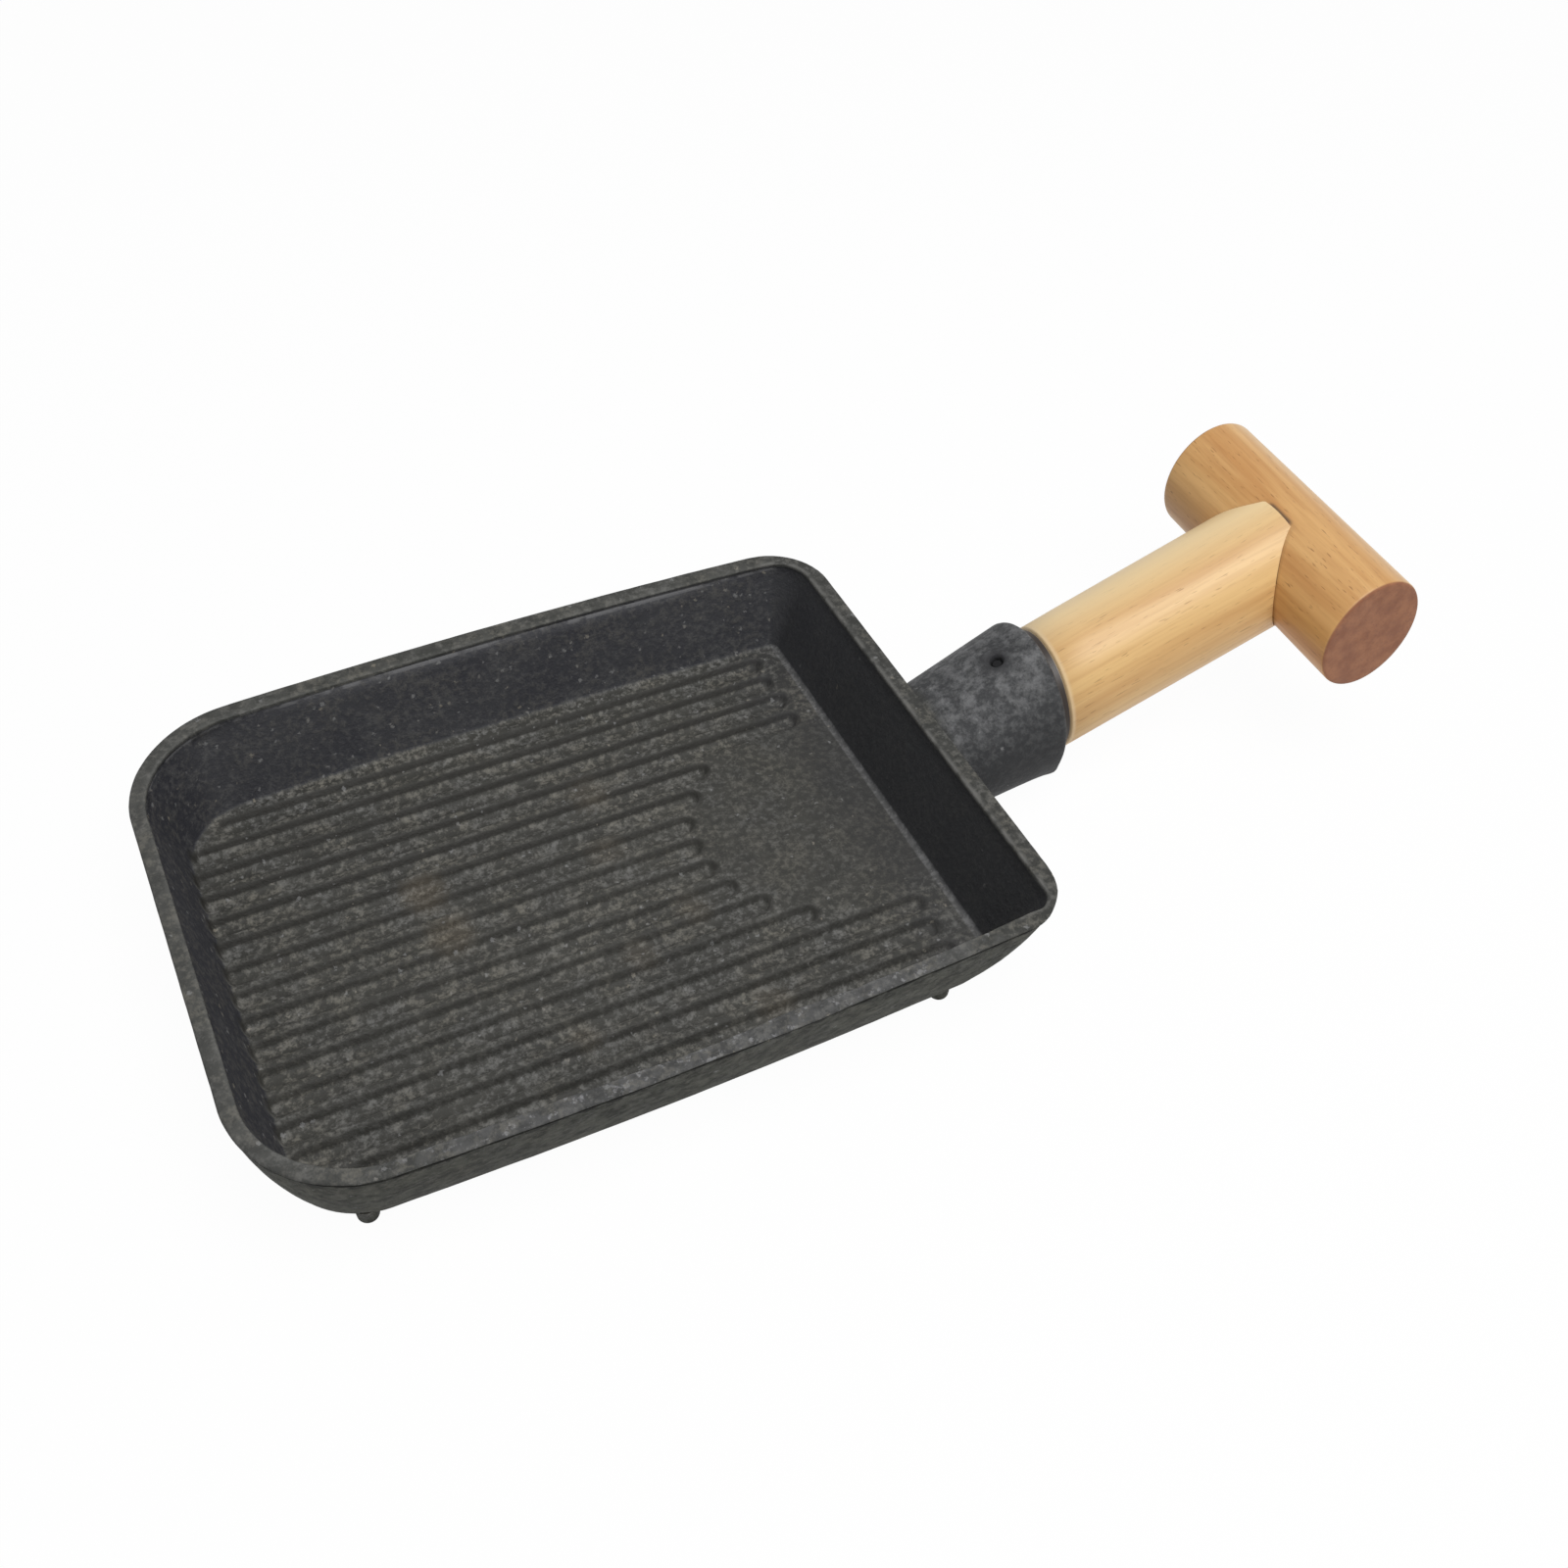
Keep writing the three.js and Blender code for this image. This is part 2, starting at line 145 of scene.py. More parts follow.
CROSSBAR_LENGTH = 72.7 * MM
CROSSBAR_LIFT = 0.5 * MM
CROSSBAR_ASIDE = -0.7 * MM
CROSSBAR_TWIST = math.radians(3)
SAWN_LEAN_OUT = 0.065
SAWN_LEAN_UP = 0.1
EASED_EDGE = 0.9 * MM
DOWEL_HOLE_RADIUS = 5.3 * MM
DOWEL_HOLE_LENGTH = 36.6 * MM
PIN_SETBACK = 5.5 * MM
PIN_HOLE_RADIUS = 1.62 * MM
PIN_HOLE_FLARE = 1.2 * MM
PIN_HOLE_BOTTOM = 5 * MM

# Radius of the small ring round the middle of a round cut's ends
CUT_HUB = 0.2 * MM

# Direction, across and up, of the handle's upper outline in the photograph
FAR_ACROSS = 0.79
FAR_UP = 0.61

# Bump of the finishes, as strength and distance
WOOD_BUMP = (0.12, 0.2 * MM)
IRON_BUMP = (0.6, 0.6 * MM)
STEEL_BUMP = (0.2, 0.2 * MM)

# Studio light
WHITE = (1, 1, 1)
FILL_STRENGTH = 0.2
FLOOR_WHITENESS = 0.97
FLOOR_REACH = 3.0
LAMP_PLACE = (0.1, -0.3, 0.95)
LAMP_SIZE = 0.7
LAMP_POWER = 8

# Rusty patches on the floor: place from the pan's middle, radius and strength
RUST_SPOTS = (
    (-37 * MM, 15 * MM, 4.5 * MM, 1.0),
    (-35 * MM, -1 * MM, 4.5 * MM, 0.9),
    (13 * MM, 30 * MM, 4 * MM, 0.6),
    (10 * MM, 9 * MM, 4 * MM, 0.4),
    (23 * MM, -18 * MM, 3.5 * MM, 0.5),
    (5 * MM, -26 * MM, 3.5 * MM, 0.5),
    (29 * MM, -52 * MM, 4 * MM, 0.5),
    (-16 * MM, -43 * MM, 3 * MM, 0.5),
)

# Camera as the photograph was taken, about the rim's plane
PHOTO_SIZE = 1600
FOCAL_PIXELS = 1734.2
VIEW_AZIMUTH = math.radians(-27.42)
VIEW_ELEVATION = math.radians(46.47)
VIEW_ROLL = math.radians(2.16)
VIEW_TARGET_X = 51.45 * MM
VIEW_TARGET_Y = -9.58 * MM
VIEW_DISTANCE = 424.14 * MM
SENSOR_WIDTH = 36.0

# Places worked out from the sizes and from the frame
floor_height = RIM_HEIGHT - WELL_DEPTH
foot_places = [Vector(mount["pos_m"]) for mount in frame["record"]["mounts"]]
pan_middle = Vector((sum(place.x for place in foot_places) / len(foot_places) + BASE_LEAN, 0, 0))
floor_half_length = PAN_LENGTH / 2 - FLOOR_INSET
floor_half_width = PAN_WIDTH / 2 - FLOOR_INSET - FLOOR_SIDE_INSET
handle_wall_foot = PAN_LENGTH / 2 - WALL_FOOT_INSET - FLOOR_LEAN
handle_axis = Vector((math.cos(HANDLE_RISE), 0, math.sin(HANDLE_RISE)))
handle_up = Vector((-math.sin(HANDLE_RISE), 0, math.cos(HANDLE_RISE)))
handle_side = Vector((0, 1, 0))
mouth_middle = pan_middle + Vector((PAN_LENGTH / 2 + MOUTH_REACH, 0, RIM_HEIGHT - MOUTH_DROP))
crossbar_along = handle_side * math.cos(CROSSBAR_TWIST) + handle_up * math.sin(CROSSBAR_TWIST)
crossbar_up = handle_up * math.cos(CROSSBAR_TWIST) - handle_side * math.sin(CROSSBAR_TWIST)


def along_handle(distance, across, up):
    """A point in the handle's own frame: along its axis from the mouth, across it, and up from it."""
    return mouth_middle + handle_axis * distance + handle_side * across + handle_up * up


crossbar_middle = along_handle(STEM_REACH, CROSSBAR_ASIDE, CROSSBAR_LIFT)


class Wire:
    """A node's output; reckoning with it adds math nodes to the same tree."""

    def __init__(self, make, socket):
        self.make = make
        self.socket = socket

    def __add__(self, other):
        return self.make.math("ADD", self, other)

    def __sub__(self, other):
        return self.make.math("SUBTRACT", self, other)

    def __rsub__(self, other):
        return self.make.math("SUBTRACT", other, self)

    def __mul__(self, other):
        return self.make.math("MULTIPLY", self, other)

    def __pow__(self, power):
        return self.make.math("POWER", self, power)

    def __abs__(self):
        return self.make.math("ABSOLUTE", self)

    __radd__ = __add__
    __rmul__ = __mul__


class Nodes:
    """Short calls that fill a node tree: each adds a node, and sets or wires its inputs."""

    def __init__(self, tree):
        self.tree = tree

    def feed(self, socket, value):
        if isinstance(value, Wire):
            self.tree.links.new(value.socket, socket)
        elif socket.type == "RGBA":
            socket.default_value = (*value, 1)
        else:
            socket.default_value = value

    @staticmethod
    def open_socket(node, name):
        if isinstance(name, int):
            return node.inputs[name]
        return next(socket for socket in node.inputs if socket.name == name and socket.enabled)

    def add(self, kind, inputs=None, **settings):
        node = self.tree.nodes.new(kind)
        for name, value in settings.items():
            setattr(node, name, value)
        for name, value in (inputs or {}).items():
            self.feed(self.open_socket(node, name), value)
        return node

    def out(self, kind, inputs=None, output=0, **settings):
        """Adds a node and gives one of its outputs."""
        return Wire(self, self.add(kind, inputs, **settings).outputs[output])

    def outs(self, kind, inputs=None, **settings):
        """Adds a node and gives all its outputs by name, in their order."""
        node = self.add(kind, inputs, **settings)
        return {socket.name: Wire(self, socket) for socket in node.outputs}

    def group(self, tree, inputs):
        """Adds a node group and gives its outputs."""
        return self.outs("ShaderNodeGroup", inputs, node_tree=tree)

    def apart(self, vector):
        """The three parts of a vector."""
        return self.outs("ShaderNodeSeparateXYZ", {0: vector}).values()

    def math(self, operation, *values):
        return self.out("ShaderNodeMath", dict(enumerate(values)), operation=operation)

    def highest(self, first, second):
        return self.math("MAXIMUM", first, second)

    def length(self, first, second):
        """Length of a line that runs first one way and second at right angles to it."""
        return self.math("SQRT", first**2.0 + second**2.0)

    def ramp(self, value, low, high, to_low=0.0, to_high=1.0, smooth=True):
        inputs = {"Value": value, "From Min": low, "From Max": high, "To Min": to_low, "To Max": to_high}
        kind = "SMOOTHSTEP" if smooth else "LINEAR"
        return self.out("ShaderNodeMapRange", inputs, interpolation_type=kind)

    def stripe(self, value, start, full, waning, end):
        """1 from full to waning, and none before start and after end."""
        return self.ramp(value, start, full) * self.ramp(value, end, waning)

    def noise(self, vector, scale, detail=2.0, roughness=0.5):
        inputs = {"Vector": vector, "Scale": scale, "Detail": detail, "Roughness": roughness}
        return self.out("ShaderNodeTexNoise", inputs)

    def blend(self, share, first, second, mode="MIX"):
        node = self.add("ShaderNodeMix", data_type="RGBA", blend_type=mode, clamp_factor=True)
        for socket, value in zip((node.inputs[0], node.inputs[6], node.inputs[7]), (share, first, second)):
            self.feed(socket, value)
        return Wire(self, node.outputs[2])


# Meshes


def mesh_object(name, points, faces):
    mesh = bpy.data.meshes.new(name)
    mesh.from_pydata([tuple(point) for point in points], [], faces)
    mesh.update()
    made = bpy.data.objects.new(name, mesh)
    bpy.context.scene.collection.objects.link(made)
    return made


def ring_faces(count, levels, start=0):
    """Quads between stacked rings of equal count, facing out where the rings run anticlockwise going up."""
    faces = []
    for level in range(levels - 1):
        low = start + level * count
        high = low + count
        for i in range(count):
            j = (i + 1) % count
            faces.append((low + i, low + j, high + j, high + i))
    return faces


def closed_loft(name, rings):
    """Closed solid through rings, each a list of points, with a fan on a middle point at both ends."""
    count = len(rings[0])
    points = [point for ring in rings for point in ring]
    faces = ring_faces(count, len(rings))
    for ring, start, turn in ((rings[0], 0, True), (rings[-1], (len(rings) - 1) * count, False)):
        middle = sum((Vector(point) for point in ring), Vector()) / count
        points.append(middle)
        hub = len(points) - 1
        for i in range(count):
            j = (i + 1) % count
            faces.append((start + j, start + i, hub) if turn else (start + i, start + j, hub))
    return mesh_object(name, points, faces)


def turned(name, profile, place, steps):
    """Round solid from (along, radius) pairs; place gives the point for along, across and up."""
    rings = []
    for along, radius in profile:
        angles = (2 * math.pi * step / steps for step in range(steps))
        rings.append([place(along, radius * math.cos(a), radius * math.sin(a)) for a in angles])
    return closed_loft(name, rings)


def arc(start, end, centre, steps):
    """Points of a quarter turn from start to end round centre, without the first point."""
    out = []
    for step in range(1, steps + 1):
        angle = math.pi / 2 * step / steps
        first, second = math.cos(angle), math.sin(angle)
        out.append(tuple(c + (s - c) * first + (e - c) * second for s, e, c in zip(start, end, centre)))
    return out


def curve(start, control, end, steps):
    """Points of a bend from start to end pulled towards control, without the first point."""
    out = []
    for step in range(1, steps + 1):
        t = step / steps
        weights = ((1 - t) ** 2, 2 * t * (1 - t), t**2)
        out.append(tuple(sum(w * p for w, p in zip(weights, place)) for place in zip(start, control, end)))
    return out


# Pan body


def column_share(y, half_width, radius):
    """Place of a height y on an end of the outline: within 1 on the straight, from 1 to 2 on the corner."""
    straight = half_width - radius
    if abs(y) <= straight:
        return y / straight
    angle = math.asin(min(1.0, (abs(y) - straight) / radius))
    return math.copysign(1 + angle / (math.pi / 2), y)


def end_point(share, half_length, half_width, radius):
    """Point on the +X end of an outline for a share given by column_share."""
    straight = half_width - radius
    if abs(share) <= 1:
        return half_length, share * straight
    angle = (abs(share) - 1) * math.pi / 2
    x = half_length - radius + radius * math.cos(angle)
    return x, math.copysign(straight + radius * math.sin(angle), share)


def bowed(x, y):
    return y + SIDE_BOW * (1 - (x / (PAN_LENGTH / 2)) ** 2) * y / (PAN_WIDTH / 2)


def spread(start, end, step):
    count = max(1, round((end - start) / step))
    return [start + (end - start) * i / count for i in range(count)]


def floor_rows():
    """Heights across the pan, close together on the channel walls."""
    half = (0.8, 1.6, 1.9, 2.2, 2.5, 2.8, 3.1, 3.4, 3.65)
    steps = [-step for step in reversed(half)] + [0, *half]
    middle = (CHANNEL_COUNT - 1) / 2
    lines = [(index - middle) * CHANNEL_PITCH for index in range(CHANNEL_COUNT)]
    rows = [line + step * MM for line in lines for step in steps]
    edge = floor_half_width
    gaps = (0.0, 0.05, 0.12, 0.25, 0.4, 0.6, 0.8, 1.05, 1.3, 1.6, 1.95, 2.3)
    side = [edge - gap * MM for gap in gaps]
    inner = [row for row in rows if abs(row) < edge - 2.5 * MM]
    return sorted(set(inner + side + [-row for row in side]))


def floor_columns():
    """Places along the pan, close together where channels end."""
    free, handle = -floor_half_length, floor_half_length
    cuts = [
        (free, free + 2 * MM, FINE_STEP),
        (free + 2 * MM, 30 * MM, COARSE_STEP),
        (30 * MM, 58 * MM, FINE_STEP),
        (58 * MM, 70 * MM, COARSE_STEP),
        (70 * MM, 80 * MM, FINE_STEP),
        (80 * MM, handle, 1.2 * MM),
    ]
    columns = [x for start, end, step in cuts for x in spread(start, end, step)]
    return columns + [handle]


def floor_corner_radii():
    return FREE_CORNER_RADIUS - FLOOR_INSET, FLOOR_CORNER_RADIUS


def wall_profile(ledge_width):
    """(inset, height, is outside) steps from the floor's edge over the rim down to the underside."""
    inner = []
    for step in range(1, 6):
        angle = FLOOR_FILLET_SWEEP * step / 5
        rise = FLOOR_FILLET * (1 - math.cos(angle))
        inner.append((FLOOR_INSET - FLOOR_FILLET * math.sin(angle), floor_height + rise))
    foot = inner[-1]
    ledge = (RIM_WIDTH + ledge_width, RIM_HEIGHT - LEDGE_DROP - 0.1 * MM)
    inner += [tuple(a + (b - a) * step / 8 for a, b in zip(foot, ledge)) for step in range(1, 9)]
    inner += [
        (RIM_WIDTH + 0.35 * ledge_width, RIM_HEIGHT - LEDGE_DROP + 0.05 * MM),
        (RIM_WIDTH, RIM_HEIGHT - LEDGE_DROP + 0.2 * MM),
        (RIM_WIDTH, RIM_HEIGHT - RIM_INNER_ROUND),
    ]
    corner = (RIM_WIDTH - RIM_INNER_ROUND, RIM_HEIGHT - RIM_INNER_ROUND)
    inner += arc(inner[-1], (RIM_WIDTH - RIM_INNER_ROUND, RIM_HEIGHT), corner, 3)
    outer = [(RIM_WIDTH * share, RIM_HEIGHT + 0.04 * MM) for share in (0.7, 0.45)]
    outer += [(RIM_ROUND, RIM_HEIGHT)]
    outer += arc(outer[-1], (0, RIM_HEIGHT - RIM_ROUND), (RIM_ROUND, RIM_HEIGHT - RIM_ROUND), 4)
    lip = RIM_HEIGHT - LIP_DROP
    outer += [
        (0, lip),
        (0.25 * GROOVE_DEPTH, lip - 0.2 * GROOVE_HEIGHT),
        (GROOVE_DEPTH, lip - 0.45 * GROOVE_HEIGHT),
        (GROOVE_DEPTH, lip - 0.7 * GROOVE_HEIGHT),
        (0.6 * GROOVE_DEPTH, lip - GROOVE_HEIGHT),
    ]
    top = outer[-1]
    bottom = (BASE_INSET - BASE_ROUND / 3, BASE_HEIGHT + BASE_ROUND)
    swell = ((top[0] + bottom[0]) / 2 - 2 * WALL_BULGE, (top[1] + bottom[1]) / 2)
    outer += curve(top, swell, bottom, 8)
    outer += curve(bottom, (BASE_INSET, BASE_HEIGHT), (BASE_INSET + BASE_ROUND, BASE_HEIGHT), 5)
    outer += [(inset * MM, BASE_HEIGHT) for inset in (16, 26, 42)]
    return [(*point, False) for point in inner] + [(*point, True) for point in outer]


def ring_shape(inset, height, outside):
    """Corner radii at the free end and the handle end, shift and narrowing of one outline of the walls."""
    well_shift = Vector((WELL_SHIFT_X, WELL_SHIFT_Y, 0))
    if not outside:
        sunk = (RIM_HEIGHT - height) / WELL_DEPTH
        handles = [radius + sunk * (FLOOR_CORNER_RADIUS - radius) for radius in WELL_CORNER_RADII]
        shift = well_shift * (1 - sunk) - Vector((FLOOR_LEAN * sunk, 0, 0))
        return FREE_CORNER_RADIUS - inset, handles, shift, FLOOR_SIDE_INSET * sunk
    if height >= RIM_HEIGHT:
        over = max(0.0, (inset - RIM_ROUND) / (RIM_WIDTH - RIM_ROUND))
        pairs = zip(HANDLE_CORNER_RADII, WELL_CORNER_RADII)
        return FREE_CORNER_RADIUS - inset, [a + over * (b - a) for a, b in pairs], well_shift * over, 0.0
    sunk = (RIM_HEIGHT - height) / (RIM_HEIGHT - BASE_HEIGHT)
    handles = [a + sunk * (b - a) for a, b in zip(HANDLE_CORNER_RADII, BASE_CORNER_RADII)]
    return FREE_CORNER_RADIUS - 0.9 * inset, handles, Vector((-BASE_LEAN * sunk, 0, 0)), 0.0


def floor_end(y, radius):
    """How far the floor reaches at a height y, towards an end with this corner radius."""
    share = column_share(y, floor_half_width, radius)
    return end_point(share, floor_half_length, floor_half_width, radius)[0]


def floor_points(rows, columns):
    """Grid of the floor, row by row, drawn in to the round corners at both ends."""
    free_radius, handle_radius = floor_corner_radii()
    steady = floor_half_length - CORNER_GIVE
    last_straight_row = floor_half_width - SIDE_GIVE
    points = []
    for y in rows:
        left, right = -floor_end(y, free_radius), floor_end(y, handle_radius)
        push = max(0.0, abs(y) - last_straight_row) / SIDE_GIVE
        for x in columns:
            placed = x
            if x < -steady:
                placed = left + (x + floor_half_length) * (-steady - left) / CORNER_GIVE
            elif x > steady:
                placed = right - (floor_half_length - x) * (right - steady) / CORNER_GIVE
            height = y + push * (bowed(placed, y) - y)
            points.append(Vector((placed - FLOOR_LEAN, height, floor_height)))
    return points


def floor_edge(last_column, last_row):
    """(column, row) of the points along the floor's edge, anticlockwise from above."""
    edge = [(i, 0) for i in range(last_column)]
    edge += [(last_column, j) for j in range(last_row)]
    edge += [(i, last_row) for i in range(last_column, 0, -1)]
    edge += [(0, j) for j in range(last_row, 0, -1)]
    return edge


def wall_places(edge, points, rows, width):
    """Where each edge point lies on an outline: its side, the share along it, and that side's sign."""
    free_radius, handle_radius = floor_corner_radii()
    side_start = -floor_half_length + free_radius
    side_length = 2 * floor_half_length - free_radius - handle_radius
    last_row, last_column = len(rows) - 1, width - 1
    places = []
    for i, j in edge:
        x = points[j * width + i].x + FLOOR_LEAN
        if j in (0, last_row) and 0 < i < last_column:
            places.append(("side", (x - side_start) / side_length, math.copysign(1, rows[j])))
        elif i == last_column:
            places.append(("handle", column_share(rows[j], floor_half_width, handle_radius), 1))
        else:
            places.append(("free", column_share(rows[j], floor_half_width, free_radius), -1))
    return places


def wall_ring(places, inset, plain_inset, height, outside):
    """Points of one outline of the walls; plain_inset holds where the far side has no ledge."""
    free, handles, shift, narrower = ring_shape(inset, height, outside)
    ring = []
    for kind, share, sign in places:
        far_side = (share if kind == "handle" else sign) > 0
        handle = handles[1] if far_side else handles[0]
        ledge = min(1.0, 4 * share, 4 - 4 * share) if kind == "side" and far_side else 0.0
        reach = plain_inset + ledge * (inset - plain_inset)
        half_long, half_wide = PAN_LENGTH / 2 - reach, PAN_WIDTH / 2 - reach - narrower
        if kind == "side":
            x = -half_long + free + share * (2 * half_long - free - handle)
            y = sign * half_wide
        else:
            x, y = end_point(share, half_long, half_wide, handle if kind == "handle" else free)
            x *= sign
        ring.append(Vector((x, bowed(x, y), height)) + shift)
    return ring


def pan_body():
    """Floor grid, walls, rim and underside as one closed mesh."""
    rows, columns = floor_rows(), floor_columns()
    width = len(columns)
    points = floor_points(rows, columns)
    faces = []
    for j in range(len(rows) - 1):
        for i in range(width - 1):
            corner = j * width + i
            faces.append((corner, corner + 1, corner + width + 1, corner + width))
    edge = floor_edge(width - 1, len(rows) - 1)
    places = wall_places(edge, points, rows, width)
    previous = [j * width + i for i, j in edge]
    count = len(edge)
    for (inset, height, outside), (plain_inset, _, _) in zip(wall_profile(LEDGE_WIDTH), wall_profile(0)):
        start = len(points)
        points += wall_ring(places, inset, plain_inset, height, outside)
        for n in range(count):
            after = (n + 1) % count
            faces.append((previous[after], previous[n], start + n, start + after))
        previous = list(range(start, start + count))
    hub = len(points)
    points.append(Vector((-BASE_LEAN, 0, BASE_HEIGHT)))
    faces += [(previous[(n + 1) % count], previous[n], hub) for n in range(count)]
    return mesh_object("pan_body", [point + pan_middle for point in points], faces)


# Socket, feet and the cuts in the casting


def socket_half_sizes(from_mouth):
    share = from_mouth / SOCKET_LENGTH
    return MOUTH_RADIUS - SOCKET_SIDE_TAPER * share, MOUTH_RADIUS - SOCKET_TOP_TAPER * share


def wall_middle_x(height):
    """Middle of the iron in the pan's handle-end wall at a height."""
    drop = (RIM_HEIGHT - height) / WELL_DEPTH
    return pan_middle.x + PAN_LENGTH / 2 - 3 * MM - 9 * MM * drop


def socket_ring(from_mouth, shrink=0.0, steps=112):
    half_wide, half_high = socket_half_sizes(min(from_mouth, SOCKET_LENGTH))
    forward = max(0.0, 1 - from_mouth / SOCKET_LENGTH)
    tilt = math.tan(MOUTH_TILT) * forward
    at_lip = max(0.0, 1 - from_mouth / BURR_LENGTH)
    ring = []
    for step in range(steps):
        angle = 2 * math.pi * step / steps
        burr = BURR_HEIGHT * at_lip * math.exp(-(((angle - BURR_ANGLE) / BURR_SPREAD) ** 2))
        across = (half_wide - shrink + burr) * math.cos(angle)
        up = (half_high - shrink + burr) * math.sin(angle)
        point = along_handle(up * tilt + MOUTH_ADVANCE * forward + burr - from_mouth, across, up)
        low = BASE_HEIGHT + 0.1 * MM
        soft = 2.5 * MM
        if point.z < low + soft:
            point.z = low + soft * math.exp((point.z - low - soft) / soft)
        ring.append(point)
    return ring


def socket_block():
    root = socket_ring(SOCKET_LENGTH)
    seat = []
    for point in root:
        reach = (point.x - wall_middle_x(point.z)) / handle_axis.x
        drop = 0.35 * reach * handle_axis.z
        seat.append(Vector((point.x - reach * handle_axis.x, point.y, point.z - drop)))
    rings = [seat]
    rings += [socket_ring(SOCKET_LENGTH * share) for share in (0.92, 0.8, 0.66, 0.5, 0.36, 0.22, 0.12)]
    for step in range(7):
        angle = math.pi / 2 * step / 6
        rings.append(socket_ring(MOUTH_ROUND * (1 - math.sin(angle)), MOUTH_ROUND * (1 - math.cos(angle))))
    return closed_loft("socket_block", rings)


def bore_cut():
    bottom = -BORE_DEPTH - TENON_LENGTH
    profile = [
        (bottom, CUT_HUB),
        (bottom, TENON_RADIUS + TENON_FIT),
        (-BORE_DEPTH, TENON_RADIUS + TENON_FIT),
        (-BORE_DEPTH, BORE_RADIUS),
        (BORE_RUN_OUT, BORE_RADIUS),
        (BORE_RUN_OUT, CUT_HUB),
    ]
    return turned("bore_cut", profile, along_handle, 112)


def pin_hole_cut(name, bottom, flare):
    """Round cut down through the socket's top, opening out at the skin."""
    skin = socket_half_sizes(PIN_SETBACK)[1]
    profile = [
        (bottom, 0.1 * MM),
        (bottom, PIN_HOLE_RADIUS),
        (skin - 1.7 * MM, PIN_HOLE_RADIUS),
        (skin - 0.9 * MM, PIN_HOLE_RADIUS + 0.2 * flare),
        (skin - 0.4 * MM, PIN_HOLE_RADIUS + 0.55 * flare),
        (skin - 0.1 * MM, PIN_HOLE_RADIUS + 1.1 * flare),
        (skin + 0.1 * MM, PIN_HOLE_RADIUS + 2.1 * flare),
        (skin + 4 * MM, PIN_HOLE_RADIUS + 2.1 * flare),
        (skin + 4 * MM, 0.1 * MM),
    ]

    def place(along, across, up):
        return along_handle(up - PIN_SETBACK, across, along)

    return turned(name, profile, place, 40)


def foot_nub(index, place):
    tip, waist, top = place.z, place.z + 1.4 * MM, BASE_HEIGHT + 3 * MM
    profile = [(tip, 0.3 * MM), (tip, FOOT_FLAT_RADIUS)]
    for step in range(1, 6):
        angle = math.pi / 2 * step / 5
        radius = FOOT_FLAT_RADIUS + (FOOT_RADIUS - FOOT_FLAT_RADIUS) * math.sin(angle)
        profile.append((waist - (waist - tip) * math.cos(angle), radius))
    profile += [(top, FOOT_RADIUS + 0.2 * MM), (top, 0.3 * MM)]

    def at(along, across, up):
        return Vector((place.x + across, place.y + up, along))

    return turned(f"foot_nub_{index}", profile, at, 36)


def boolean(piece, cutter, operation):
    modifier = piece.modifiers.new(f"{operation}_{cutter.name}".lower(), "BOOLEAN")
    modifier.operation = operation
    modifier.solver = "MANIFOLD"
    modifier.object = cutter


def finished_mesh(piece, name, leftovers=(), sharp_angle=50):
    """The piece with its modifiers applied, as a plain mesh object under a new name."""
    graph = bpy.context.evaluated_depsgraph_get()
    mesh = bpy.data.meshes.new_from_object(piece.evaluated_get(graph), depsgraph=graph)
    mesh.name = name
    for old in (piece, *leftovers):
        bpy.data.objects.remove(old)
    mesh.shade_smooth()
    mesh.set_sharp_from_angle(angle=math.radians(sharp_angle))
    made = bpy.data.objects.new(name, mesh)
    bpy.context.scene.collection.objects.link(made)
    return made


def outward(piece):
    """Turns the faces of a closed mesh outwards if they point in."""
    mesh = piece.data
    volume = 0.0
    for polygon in mesh.polygons:
        corners = [mesh.vertices[i].co for i in polygon.vertices]
        for second, third in zip(corners[1:], corners[2:]):
            volume += corners[0].dot(second.cross(third))
    if volume < 0:
        mesh.flip_normals()
    return piece


# Channel rule as geometry nodes


CHANNEL_SIZES = {
    "Pitch": CHANNEL_PITCH,
    "Each Side": (CHANNEL_COUNT - 1) / 2,
    "Half Width": CHANNEL_HALF_WIDTH,
    "Depth": CHANNEL_DEPTH,
    "Edge Out": CHANNEL_EDGE_OUT,
    "Edge In": CHANNEL_EDGE_IN,
    "Free End": pan_middle.x - floor_half_length - FLOOR_LEAN - CHANNEL_OVERRUN,
    "Corner Start": floor_half_width - floor_corner_radii()[0],
    "Corner Radius": floor_corner_radii()[0],
    "Handle End": pan_middle.x + handle_wall_foot - CHANNEL_SETBACK,
    "End Variation": CHANNEL_END_VARIATION,
    "Pad X": pan_middle.x + handle_wall_foot - PAD_SETBACK,
    "Pad Y": PAD_OFFSET,
    "Pad Radius": PAD_RADIUS,
    "Floor Height": floor_height,
    "Rim Height": RIM_HEIGHT,
    "Base Height": BASE_HEIGHT,
    "Middle X": pan_middle.x,
    "Wall End": pan_middle.x + PAN_LENGTH / 2 + 0.6 * MM,
    "Unevenness": CAST_UNEVENNESS,
    "Lip Wave": LIP_WAVE,
}


